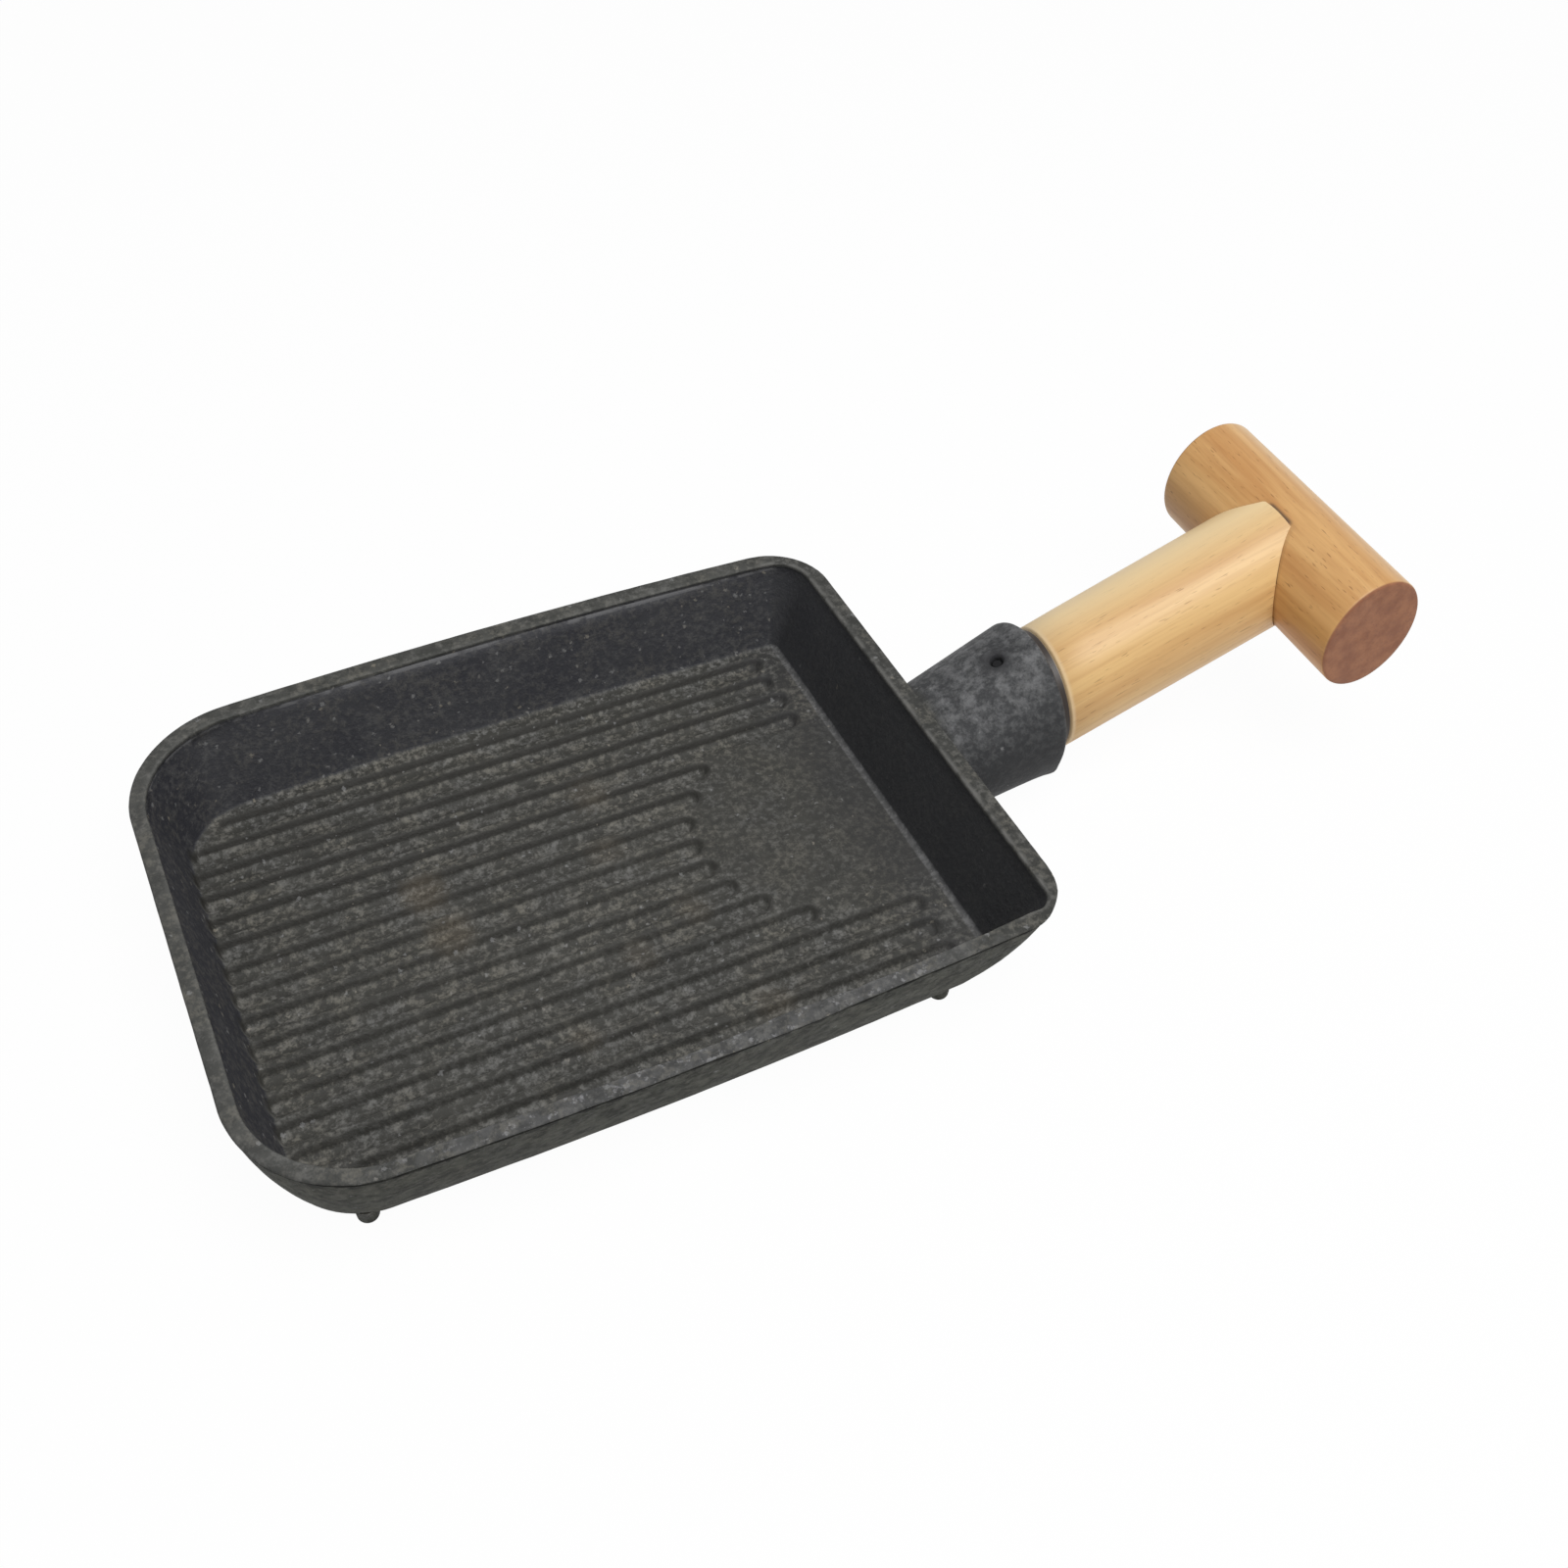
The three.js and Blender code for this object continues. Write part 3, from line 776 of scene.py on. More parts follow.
def channel_distance(make, given, x, y):
    """Distance out from the nearest channel's edge, negative inside it, and the place across its line."""
    near = make.math("ROUND", make.math("DIVIDE", y, given["Pitch"]))
    last = given["Each Side"]
    index = make.math("MINIMUM", make.highest(near, last * -1.0), last)
    line = index * given["Pitch"]

    # The handle end is uneven, and held back by the smooth pad.
    inside_pad = given["Pad Radius"] ** 2.0 - (line - given["Pad Y"]) ** 2.0
    pad_end = given["Pad X"] - make.math("SQRT", make.highest(inside_pad, 0.0))
    stopped = make.math("GREATER_THAN", inside_pad, 0.0)
    chance = make.noise(make.out("ShaderNodeCombineXYZ", {0: index}), 0.73, 0.0) - 0.5
    end = stopped * (pad_end - given["Handle End"]) + given["Handle End"]
    end = chance * given["End Variation"] + end

    # The free end follows the floor's corners.
    half, radius = given["Half Width"], given["Corner Radius"]
    past = make.highest(abs(line) + half - given["Corner Start"], 0.0)
    past = make.math("MINIMUM", past, radius)
    start = given["Free End"] + (radius - make.math("SQRT", radius**2.0 - past**2.0))

    along = make.highest(make.highest(start + half - x, x - (end - half)), 0.0)
    across = y - line
    return make.length(along, across) - half, across


def pan_marks(make, given, place, distance, across, sunk, on_floor):
    """Marks for the finish and its painted shade and light: channel walls, floor, pad, inner walls, rim and
    socket.
    """
    x, y, z = place
    normal = make.out("GeometryNodeInputNormal")
    lengthwise, _, upright = make.apart(normal)
    inward = make.out("ShaderNodeCombineXYZ", {0: given["Middle X"] - x, 1: y * -1.0})
    facing = make.out("ShaderNodeVectorMath", {0: normal, 1: inward}, "Value", operation="DOT_PRODUCT")
    above = z - given["Floor Height"]
    below_rim = given["Rim Height"] - z
    well = make.math("LESS_THAN", x, given["Wall End"])
    inner_side = make.math("GREATER_THAN", facing, 8 * MM) * well
    on_wall = make.ramp(below_rim, 0.4 * MM, 1.2 * MM) * make.ramp(above, 0.1 * MM, 0.7 * MM)
    floor = make.math("GREATER_THAN", upright, 0.1) * make.ramp(above, 0.7 * MM, 0.1 * MM) * well
    from_pad = make.length(x - given["Pad X"], y - given["Pad Y"]) - given["Pad Radius"]
    at_edge = make.stripe(distance, -3.5 * MM, -1.5 * MM, 0.2 * MM, 1.1 * MM) * on_floor
    return {
        # Masks of painted shade on the channels' far walls and painted light on their near halves.
        "channel_far_wall": at_edge * make.ramp(across, -1.4 * MM, 0.6 * MM),
        "channel_near_half": make.ramp(sunk, 0.0, 0.25) * make.ramp(across, 0.4 * MM, -2 * MM),
        "pan_floor": floor,
        "smooth_pad": make.ramp(from_pad, 2 * MM, -3 * MM) * floor,
        "inner_wall": inner_side * on_wall,
        "rim_top": make.ramp(below_rim, 1.2 * MM, 0.3 * MM) * well,
        "handle_socket": 1.0 - well,
        "inner_side": inner_side,
        "handle_wall": inner_side * make.ramp(lengthwise, -0.15, -0.5),
        "free_wall": inner_side * make.ramp(lengthwise, 0.3, 0.7),
    }


def casting_tree():
    """Sinks the channels into the floor, marks the surfaces for their finish and makes the skin uneven."""
    tree = bpy.data.node_groups.new("grill_channels", "GeometryNodeTree")
    sockets = {"Geometry": "Geometry", **dict.fromkeys(CHANNEL_SIZES, "Float"), "Material": "Material"}
    for name, kind in sockets.items():
        tree.interface.new_socket(name, in_out="INPUT", socket_type="NodeSocket" + kind)
    tree.interface.new_socket("Geometry", in_out="OUTPUT", socket_type="NodeSocketGeometry")
    make = Nodes(tree)
    given = make.outs("NodeGroupInput")
    position = make.out("GeometryNodeInputPosition")
    x, y, z = make.apart(position)

    distance, across = channel_distance(make, given, x, y)
    on_floor = make.math("COMPARE", z - given["Floor Height"], 0.0, 1.5 * MM)
    sunk = make.ramp(distance, given["Edge In"] * -1.0, given["Edge Out"], 1.0, 0.0) * on_floor
    downward = make.out("ShaderNodeCombineXYZ", {2: sunk * given["Depth"] * -1.0})
    shaped = make.out("GeometryNodeSetPosition", {"Geometry": given["Geometry"], "Offset": downward})
    marks = pan_marks(make, given, (x, y, z), distance, across, sunk, on_floor)
    for name, value in marks.items():
        inputs = {"Geometry": shaped, "Name": name, "Value": value}
        shaped = make.out("GeometryNodeStoreNamedAttribute", inputs, data_type="FLOAT")

    # Uneven skin of a sand casting, a wavy lip on the near side, and a flat base.
    swell = (make.noise(position, 170.0, 3.0) - 0.5) * 2.0
    wave = (make.noise(position, 75.0, 2.0) - 0.5) * marks["rim_top"] * make.ramp(y, -50 * MM, -64 * MM)
    push = wave * given["Lip Wave"] + swell * given["Unevenness"]
    push = push * make.ramp(z - given["Base Height"], 0.1 * MM, 2 * MM)
    normal = make.out("GeometryNodeInputNormal")
    lift = make.out("ShaderNodeVectorMath", {0: normal, "Scale": push}, operation="SCALE")
    shaped = make.out("GeometryNodeSetPosition", {"Geometry": shaped, "Offset": lift})
    shaped = make.out("GeometryNodeRealizeInstances", {"Geometry": shaped})
    finish = {"Geometry": shaped, "Material": given["Material"]}
    make.add("NodeGroupOutput", {"Geometry": make.out("GeometryNodeSetMaterial", finish)})
    return tree


def pan_casting(material):
    body = outward(pan_body())
    additions = [outward(socket_block())]
    additions += [outward(foot_nub(index, place)) for index, place in enumerate(foot_places)]
    cuts = [outward(bore_cut()), outward(pin_hole_cut("casting_pin_hole", 0.0, PIN_HOLE_FLARE))]
    for piece in additions:
        boolean(body, piece, "UNION")
    for piece in cuts:
        boolean(body, piece, "DIFFERENCE")
    modifier = body.modifiers.new("channels", "NODES")
    modifier.node_group = casting_tree()
    values = dict(CHANNEL_SIZES, Material=material)
    for item in modifier.node_group.interface.items_tree:
        if item.in_out == "INPUT" and item.name in values:
            modifier[item.identifier] = values[item.name]
    return finished_mesh(body, "cast_pan", additions + cuts)


# Wooden pieces


def dowel_hole(name):
    middle = STEM_REACH - CROSSBAR_RADIUS
    start, end = middle - DOWEL_HOLE_LENGTH / 2, middle + DOWEL_HOLE_LENGTH / 2
    profile = [
        (start, CUT_HUB),
        (start, DOWEL_HOLE_RADIUS),
        (end, DOWEL_HOLE_RADIUS),
        (end, CUT_HUB),
    ]
    return outward(turned(name, profile, along_handle, 64))


def stem_section(along, share, angle):
    """(across, up) on the stem's section, which grows and rises a little towards the crossbar."""
    onward = max(0.0, along) / STEM_REACH
    radius = share * (STEM_RADIUS + STEM_FLARE * onward)
    return radius * math.cos(angle) + STEM_ASIDE * onward, radius * math.sin(angle) + STEM_LIFT * onward


def stem_seat(across, up):
    """How far out the stem's hollowed end reaches at a place on its section."""
    tip = STEM_REACH - TIP_TRIM
    saddle = CROSSBAR_RADIUS + GLUE_GAP
    rise, side = up - CROSSBAR_LIFT, across - CROSSBAR_ASIDE
    off_bar = rise * math.cos(CROSSBAR_TWIST) - side * math.sin(CROSSBAR_TWIST)
    if abs(off_bar) >= saddle:
        return tip
    return min(tip, STEM_REACH - math.sqrt(saddle**2 - off_bar**2))


def neck_ring(offset, radius, angles):
    """Ring of the neck, which follows the tilted mouth and is wider on the photograph's side."""
    ring = []
    for angle in angles:
        across, up = radius * math.cos(angle), radius * math.sin(angle)
        skew = NECK_SKEW * (1 + (FAR_UP * across - FAR_ACROSS * up) / STEM_RADIUS) if offset > 0 else 0.0
        ring.append(along_handle(MOUTH_ADVANCE + offset + skew + math.tan(MOUTH_TILT) * up, across, up))
    return ring


def handle_stem(material):
    """Tenon, body with a small neck at the mouth, and an end hollowed to fit the crossbar."""
    angles = [2 * math.pi * step / 144 for step in range(144)]
    shoulder = SEAT_GAP - BORE_DEPTH
    inner = shoulder - TENON_LENGTH
    straight = STEM_REACH - CROSSBAR_RADIUS - 6 * MM
    outline = [
        (inner, TENON_RADIUS - EASED_EDGE),
        (inner + EASED_EDGE, TENON_RADIUS),
        (shoulder, TENON_RADIUS),
        (shoulder, STEM_RADIUS - EASED_EDGE),
        (shoulder + EASED_EDGE, STEM_RADIUS),
    ]
    neck = [
        (-1.5 * MM, STEM_RADIUS),
        (-0.6 * MM, STEM_RADIUS - NECK_DEPTH),
        (NECK_END, STEM_RADIUS - NECK_DEPTH),
        (NECK_END + 0.5 * (SHOULDER_END - NECK_END), STEM_RADIUS - 0.3 * NECK_DEPTH),
        (SHOULDER_END, STEM_RADIUS),
    ]
    rings = []
    for along, radius in outline:
        rings.append([along_handle(along, radius * math.cos(a), radius * math.sin(a)) for a in angles])
    rings += [neck_ring(offset, radius, angles) for offset, radius in neck]
    for along in (0.3 * straight, 0.55 * straight, 0.8 * straight):
        rings.append([along_handle(along, *stem_section(along, 1, angle)) for angle in angles])
    for share in (0.0, 0.4, 0.75, 0.93, 1.0):
        ring = []
        for angle in angles:
            across, up = stem_section(STEM_REACH, 1, angle)
            along = straight + share * (stem_seat(across, up) - 0.1 * MM - straight)
            ring.append(along_handle(along, *stem_section(along, 1, angle)))
        rings.append(ring)
    for share in (0.985, 0.9, 0.75, 0.6, 0.45, 0.3, 0.15, 0.05):
        spots = [stem_section(STEM_REACH - TIP_TRIM, share, angle) for angle in angles]
        rings.append([along_handle(stem_seat(across, up), across, up) for across, up in spots])
    stem = outward(closed_loft("stem_stock", rings))
    cuts = [dowel_hole("stem_dowel_hole"), outward(pin_hole_cut("stem_pin_hole", PIN_HOLE_BOTTOM, 0.0))]
    for piece in cuts:
        boolean(stem, piece, "DIFFERENCE")
    stem.data.materials.append(material)
    return finished_mesh(stem, "wooden_stem", cuts, 40)


def handle_crossbar(material):
    half = CROSSBAR_LENGTH / 2
    profile = [(-half, share * CROSSBAR_RADIUS) for share in (0.02, 0.3, 0.6, 0.85)]
    edge_middle = (-half + EASED_EDGE, CROSSBAR_RADIUS - EASED_EDGE)
    profile += [(-half, CROSSBAR_RADIUS - EASED_EDGE)]
    profile += arc(profile[-1], (-half + EASED_EDGE, CROSSBAR_RADIUS), edge_middle, 5)
    profile += [(share * half, CROSSBAR_RADIUS) for share in (-0.9, -0.6, -0.3, 0.0)]
    profile += [(-along, radius) for along, radius in reversed(profile[:-1])]

    def place(along, across, up):
        leaned = along + SAWN_LEAN_OUT * across + SAWN_LEAN_UP * up
        return crossbar_middle + crossbar_along * leaned + handle_axis * across + crossbar_up * up

    bar = outward(turned("crossbar_stock", profile, place, 144))
    cut = dowel_hole("crossbar_dowel_hole")
    boolean(bar, cut, "DIFFERENCE")
    bar.data.materials.append(material)
    return finished_mesh(bar, "wooden_crossbar", [cut], 40)


# Finishes


def emptied(holder):
    """Node calls for a material or world whose own nodes are cleared away."""
    holder.use_nodes = True
    holder.node_tree.nodes.clear()
    return Nodes(holder.node_tree)


def new_material(name):
    material = bpy.data.materials.new(name)
    make = emptied(material)
    shader = make.add("ShaderNodeBsdfPrincipled")
    make.add("ShaderNodeOutputMaterial", {"Surface": Wire(make, shader.outputs[0])})
    return material, make, shader, make.out("ShaderNodeTexCoord", output="Object")


def wire_shader(make, shader, height, strength, distance, inputs):
    """Feeds a material's shader with a bump and its other inputs."""
    bump = make.out("ShaderNodeBump", {"Strength": strength, "Distance": distance, "Height": height})
    for name, value in {"Normal": bump, **inputs}.items():
        make.feed(shader.inputs[name], value)


def new_group(name, inputs, outputs):
    """Empty shader node group from the names and kinds of its sockets."""
    tree = bpy.data.node_groups.new(name, "ShaderNodeTree")
    for side, sockets in (("INPUT", inputs), ("OUTPUT", outputs)):
        for label, kind in sockets.items():
            tree.interface.new_socket(label, in_out=side, socket_type="NodeSocket" + kind)
    make = Nodes(tree)
    return tree, make, make.outs("NodeGroupInput")


def wood_grain_group():
    """Straight wood grain along X: a broad figure, fine fibres and short dark pores."""
    tree, make, given = new_group(
        "wood_grain",
        {"Vector": "Vector", "Light Wood": "Color", "Dark Wood": "Color", "Pores": "Float"},
        {"Color": "Color", "Height": "Float", "Gloss Loss": "Float"},
    )

    def streaks(along, across, detail, roughness=0.5):
        stretch = {"Vector": given["Vector"], "Scale": (along, across, across)}
        return make.noise(make.out("ShaderNodeMapping", stretch), 1.0, detail, roughness)

    figure = make.ramp(streaks(9, 105, 3.0, 0.55), 0.34, 0.68)
    bands = make.ramp(streaks(14, 420, 2.0), 0.35, 0.7)
    fibres = streaks(70, 1700, 3.0, 0.6)
    tone = figure * 0.6 + bands * 0.4
    wood = make.blend(tone, given["Light Wood"], given["Dark Wood"])
    wood = make.blend(make.ramp(fibres, 0.45, 0.75) * 0.22, wood, (0.62, 0.5, 0.36), "MULTIPLY")
    pore = make.ramp(streaks(230, 2300, 1.0), 0.66, 0.76) * given["Pores"]
    wood = make.blend(pore, wood, (0.34, 0.22, 0.12), "MULTIPLY")
    loss = tone * 0.08 + pore * 0.2
    make.add("NodeGroupOutput", {"Color": wood, "Height": fibres * 0.3 - pore, "Gloss Loss": loss})
    return tree


def handle_places_group():
    """Places in the handle's own frame, measured from the socket's mouth."""
    names = ("Along", "Across", "Up", "Past Mouth")
    tree, make, given = new_group("handle_places", {"Vector": "Vector"}, dict.fromkeys(names, "Float"))
    turn = {"Vector": given["Vector"], "Rotation": (0, -HANDLE_RISE, 0)}
    along, across, up = make.apart(make.out("ShaderNodeMapping", turn, vector_type="TEXTURE"))
    along = along - mouth_middle.dot(handle_axis)
    up = up - mouth_middle.dot(handle_up)
    past = along - (up * math.tan(MOUTH_TILT) + MOUTH_ADVANCE)
    make.add("NodeGroupOutput", dict(zip(names, (along, across, up, past))))
    return tree


def grained_wood(make, spot, grain, turn, light, dark, pores):
    """Colour, bump height and loss of gloss of wood whose grain runs along X before the turn."""
    aligned = make.out("ShaderNodeMapping", {"Vector": spot, "Rotation": turn}, vector_type="TEXTURE")
    inputs = {"Vector": aligned, "Light Wood": light, "Dark Wood": dark, "Pores": pores}
    return make.group(grain, inputs).values()


def stem_wood(grain, places):
    """Lacquered wood with a painted highlight along its top, painted shade in the neck at the mouth and a
    painted highlight on the shoulder edge beside it.
    """
    material, make, shader, spot = new_material("stem_wood")
    light, dark = (0.8, 0.525, 0.225), (0.63, 0.35, 0.13)
    colour, height, loss = grained_wood(make, spot, grain, (0, -HANDLE_RISE, 0), light, dark, 0.45)
    _, across, up, past = make.group(places, {"Vector": spot}).values()
    top_side = across * FAR_ACROSS + up * FAR_UP
    # Painted highlight: paler, golden wood along the top, where the light falls.
    pale = make.ramp(top_side, 0.3 * STEM_RADIUS, STEM_RADIUS) * 0.8
    colour = make.blend(pale, colour, (0.97, 0.76, 0.44))
    skew = across * FAR_UP + up * -FAR_ACROSS
    past = past - (skew * (NECK_SKEW / STEM_RADIUS) + NECK_SKEW)
    # Painted highlight on the shoulder's edge just past the neck.
    bare = make.ramp(past, SHOULDER_END + 1.2 * MM, SHOULDER_END) * 0.6
    colour = make.blend(bare, colour, (0.88, 0.68, 0.42))
    # Painted shade, near black, in the neck where the stem goes into the socket; the coat is taken off
    # there.
    neck_shade = make.ramp(past, NECK_END + 0.3 * MM, NECK_END - 0.3 * MM)
    colour = make.blend(neck_shade, colour, (0.014, 0.007, 0.003))
    coat = make.ramp(neck_shade, 0.0, 1.0, 0.12, 0.0)
    inputs = {"Base Color": colour, "Roughness": loss + 0.42, "Coat Weight": coat, "Coat Roughness": 0.32}
    wire_shader(make, shader, height, *WOOD_BUMP, inputs)
    return material


def joint_shade(make, across, up, out, rise):
    """Share of the painted shade round the joint, stronger below, and of the painted shadow in the open gap
    at the stem's tip.
    """
    from_stem = make.length(across, up) - (STEM_RADIUS + STEM_FLARE)
    beside = make.ramp(abs(from_stem), 0.7 * MM, 0.1 * MM) * make.ramp(out, 0.0, -3 * MM)
    beside = beside * make.ramp(rise, 5 * MM, -11 * MM, 0.16, 0.5)
    past_tip = make.ramp(out, 1.8 * MM - TIP_TRIM, 0.6 * MM - TIP_TRIM)
    gap = past_tip * make.ramp(from_stem, 0.1 * MM, -0.5 * MM) * 0.95
    return make.highest(beside, gap * make.math("GREATER_THAN", rise, 0.5 * CROSSBAR_RADIUS))


def sawn_share(make, side, rise, out):
    """1 on the crossbar's sawn faces, which lean a little."""
    sin, cos = math.sin(CROSSBAR_TWIST), math.cos(CROSSBAR_TWIST)
    length = side * cos + rise * sin
    height = rise * cos + side * -sin
    from_middle = abs(length - (out * SAWN_LEAN_OUT + height * SAWN_LEAN_UP))
    return make.ramp(from_middle, CROSSBAR_LENGTH / 2 - 0.7 * MM, CROSSBAR_LENGTH / 2 - 0.2 * MM)


def crossbar_wood(grain, places):
    """Lengthwise grain on the round, reddish sawn faces, painted shade round the joint and on the side
    facing the pan, and a painted highlight on the outer side.
    """
    material, make, shader, spot = new_material("crossbar_wood")
    light, dark = (0.76, 0.46, 0.185), (0.55, 0.27, 0.085)
    colour, height, loss = grained_wood(make, spot, grain, (0, 0, math.pi / 2), light, dark, 0.6)
    along, across, up, _ = make.group(places, {"Vector": spot}).values()
    out, side, rise = along - STEM_REACH, across - CROSSBAR_ASIDE, up - CROSSBAR_LIFT

    # Painted shade, deeper and warmer, on the side that faces the pan and towards the near end, and a
    # painted highlight, paler, on the outer side.
    facing = make.ramp(out, -0.2 * CROSSBAR_RADIUS, -CROSSBAR_RADIUS)
    nearer = make.ramp(side, 0.35 * CROSSBAR_LENGTH, -0.25 * CROSSBAR_LENGTH, 0.15, 1.0)
    colour = make.blend(facing * nearer * 0.5, colour, (0.92, 0.74, 0.5), "MULTIPLY")
    # Painted highlight: paler wood on the outer side.
    outer_highlight = make.ramp(out, 0.4 * CROSSBAR_RADIUS, CROSSBAR_RADIUS) * 0.5
    colour = make.blend(outer_highlight, colour, (0.86, 0.68, 0.44))

    # Dark grain streaks along the bar, made stronger low on the near part as painted shade.
    stretched = make.out("ShaderNodeCombineXYZ", {0: side * 28.0, 1: out * 330.0, 2: rise * 330.0})
    streaks = make.ramp(make.noise(stretched, 1.0, 3.0, 0.6), 0.52, 0.7)
    lower = make.ramp(rise, 0.5 * CROSSBAR_RADIUS, -0.6 * CROSSBAR_RADIUS, 0.2, 0.75)
    colour = make.blend(streaks * lower, colour, (0.6, 0.46, 0.34), "MULTIPLY")
    # Painted shade round the joint and painted shadow past the stem's tip.
    colour = make.blend(joint_shade(make, across, up, out, rise), colour, (0.1, 0.05, 0.02))

    # Blotched and flecked end grain.
    sawn = sawn_share(make, side, rise, out)
    blotch = make.ramp(make.noise(spot, 190.0, 4.0, 0.6), 0.32, 0.68)
    ends = make.blend(blotch, (0.25, 0.092, 0.042), (0.36, 0.15, 0.07))
    fleck = make.ramp(make.noise(spot, 1500.0, 2.0), 0.5, 0.72)
    ends = make.blend(fleck * 0.35, ends, (0.17, 0.07, 0.04))
    colour = make.blend(sawn, colour, ends)
    roughness = loss + 0.42 + sawn * 0.25
    inputs = {"Base Color": colour, "Roughness": roughness, "Coat Weight": 0.1, "Coat Roughness": 0.35}
    wire_shader(make, shader, height, *WOOD_BUMP, inputs)
    return material


def dowel_wood(grain):
    material, make, shader, spot = new_material("dowel_wood")
    light, dark = (0.62, 0.45, 0.26), (0.5, 0.34, 0.18)
    colour, height, loss = grained_wood(make, spot, grain, (0, -HANDLE_RISE, 0), light, dark, 0.3)
    wire_shader(make, shader, height, *WOOD_BUMP, {"Base Color": colour, "Roughness": loss + 0.6})
    return material


def cast_skin_group():
    """Skin of a rough casting: its height, a broad mottle, raised light grains and scattered specks."""
    names = ("Height", "Mottle", "Grains", "Specks", "Warmth")
    inputs = {"Vector": "Vector", "Speck Share": "Float"}
    tree, make, given = new_group("cast_skin", inputs, dict.fromkeys(names, "Float"))
    spot = given["Vector"]
    lumps = make.noise(spot, 600.0, 3.0, 0.6)
    fine = make.noise(spot, 1700.0, 2.0, 0.6)
    patches = make.noise(spot, 150.0, 2.0)
    mottle = make.noise(spot, 55.0, 4.0, 0.6)
    height = lumps * 0.7 + fine * 0.3
    grains = make.ramp(height + make.ramp(patches, 0.25, 0.75, -0.05, 0.05), 0.42, 0.7)
    cells = make.outs("ShaderNodeTexVoronoi", {"Vector": spot, "Scale": 430.0, "Randomness": 1.0})
    split = make.outs("ShaderNodeSeparateColor", {0: cells["Color"]})
    chance, warmth, size = split["Red"], split["Green"], split["Blue"]
    radius = make.ramp(size, 0.0, 1.0, 0.1, 0.34, smooth=False)
    inside = radius - cells["Distance"] + (fine - 0.5) * 0.7
    specks = make.ramp(inside, 0.0, 0.18) * make.math("LESS_THAN", chance, given["Speck Share"])
    make.add("NodeGroupOutput", dict(zip(names, (height, mottle, grains, specks, warmth))))
    return tree


class IronFinish:
    """Rough dark iron, painted in layers: grainy floor, dark inner walls with painted shade, painted shade
    and light in the channels, rubbed rim and smudged socket.
    """

    def __init__(self, skin):
        self.material, make, self.shader, spot = new_material("cast_iron")
        self.make, self.spot = make, spot
        self.floor, self.pad = self.mark("pan_floor"), self.mark("smooth_pad")
        self.wall, self.rim = self.mark("inner_wall"), self.mark("rim_top")
        self.socket, self.inner_side = self.mark("handle_socket"), self.mark("inner_side")
        self.handle_wall = self.mark("handle_wall")
        self.along, self.over, height = make.apart(spot)
        self.below_rim = RIM_HEIGHT - height
        self.above_floor = height - floor_height
        self.ribbed = self.floor - self.pad * 0.5
        self.far_wall = self.wall - self.wall * self.handle_wall
        self.outside = (1.0 - self.inner_side) * (1.0 - self.socket) * (1.0 - self.floor)
        # More bright specks along the lip's edge: painted glints.
        lip_edge = self.outside * make.stripe(self.below_rim, 0.05 * MM, 0.2 * MM, 0.5 * MM, 0.8 * MM)
        share = self.ribbed * 0.2 + self.rim * 0.1 + self.far_wall * 0.4 + lip_edge * 0.35 + 0.05
        cast = make.group(skin, {"Vector": spot, "Speck Share": share}).values()
        self.bumps, self.mottle, self.grains, self.specks, self.warmth = cast
        self.broad = make.ramp(self.mottle, 0.3, 0.7)
        self.blotch = make.ramp(make.noise(spot, 240.0, 4.0, 0.6), 0.36, 0.64)
        self.broken = make.ramp(make.noise(spot, 210.0, 3.0), 0.4, 0.55)
        self.further = make.ramp(self.over, -15 * MM, 35 * MM)
        self.wall_foot = pan_middle.x + floor_half_length - FLOOR_LEAN
        self.floor_shade_by_wall = self.floor * make.ramp(self.along, self.wall_foot - 24 * MM, self.wall_foot - 4 * MM)
        self.groove = self.mark("channel_far_wall")
        self.colour = make.blend(self.broad, (0.041, 0.0422, 0.037), (0.061, 0.062, 0.054))

    def mark(self, name):
        return self.make.out("ShaderNodeAttribute", output="Fac", attribute_name=name)

    def paint(self, share, colour, light=None, pattern=None):
        """Lays a colour over the iron by a share, or two colours by a pattern."""
        if light:
            colour = self.make.blend(pattern or self.blotch, colour, light)
        self.colour = self.make.blend(share, self.colour, colour)

    def plain_surfaces(self):
        """Floor, smooth pad and inner walls, with painted shade on the inner walls at both ends of the pan.
        """
        self.paint(self.floor, (0.033, 0.0325, 0.029), (0.048, 0.047, 0.0415), self.broad)
        self.paint(self.pad * 0.75, (0.028, 0.0278, 0.0247), (0.045, 0.044, 0.0385))
        self.paint(self.wall * 0.95, (0.033, 0.0335, 0.04), (0.044, 0.0445, 0.05), self.broad)
        # Painted shade on the wall at the free end.
        self.paint(self.wall * self.mark("free_wall") * 0.8, (0.021, 0.0215, 0.027))
        # Painted shadow on the handle-end wall, stronger towards the near side.
        shadow = self.make.ramp(self.over, 68 * MM, 15 * MM, 0.4, 0.9)
        self.paint(self.wall * self.handle_wall * shadow, (0.019, 0.0195, 0.021))

    def worn_rim(self):
        """Rim, paler at the free end, darker at the handle and rubbed bright along the near side, with
        painted glints on the near side.
        """
        make, rim, middle = self.make, self.rim, pan_middle.x
        self.paint(rim * 0.85, (0.045, 0.046, 0.0425), (0.078, 0.0785, 0.073))
        free_end = make.ramp(self.along, middle - 60 * MM, middle - 90 * MM)
        self.paint(rim * free_end * 0.2, (0.115, 0.115, 0.113))
        handle_end = make.ramp(self.along, middle + 70 * MM, middle + 90 * MM)
        self.paint(rim * handle_end * 0.5, (0.032, 0.032, 0.03))
        near = make.ramp(abs(self.along - middle), 85 * MM, 45 * MM)
        near = rim * near * make.ramp(self.over, -55 * MM, -66 * MM) * (1.0 - self.socket)
        self.paint(near * 0.55, (0.06, 0.06, 0.062), (0.115, 0.115, 0.12))
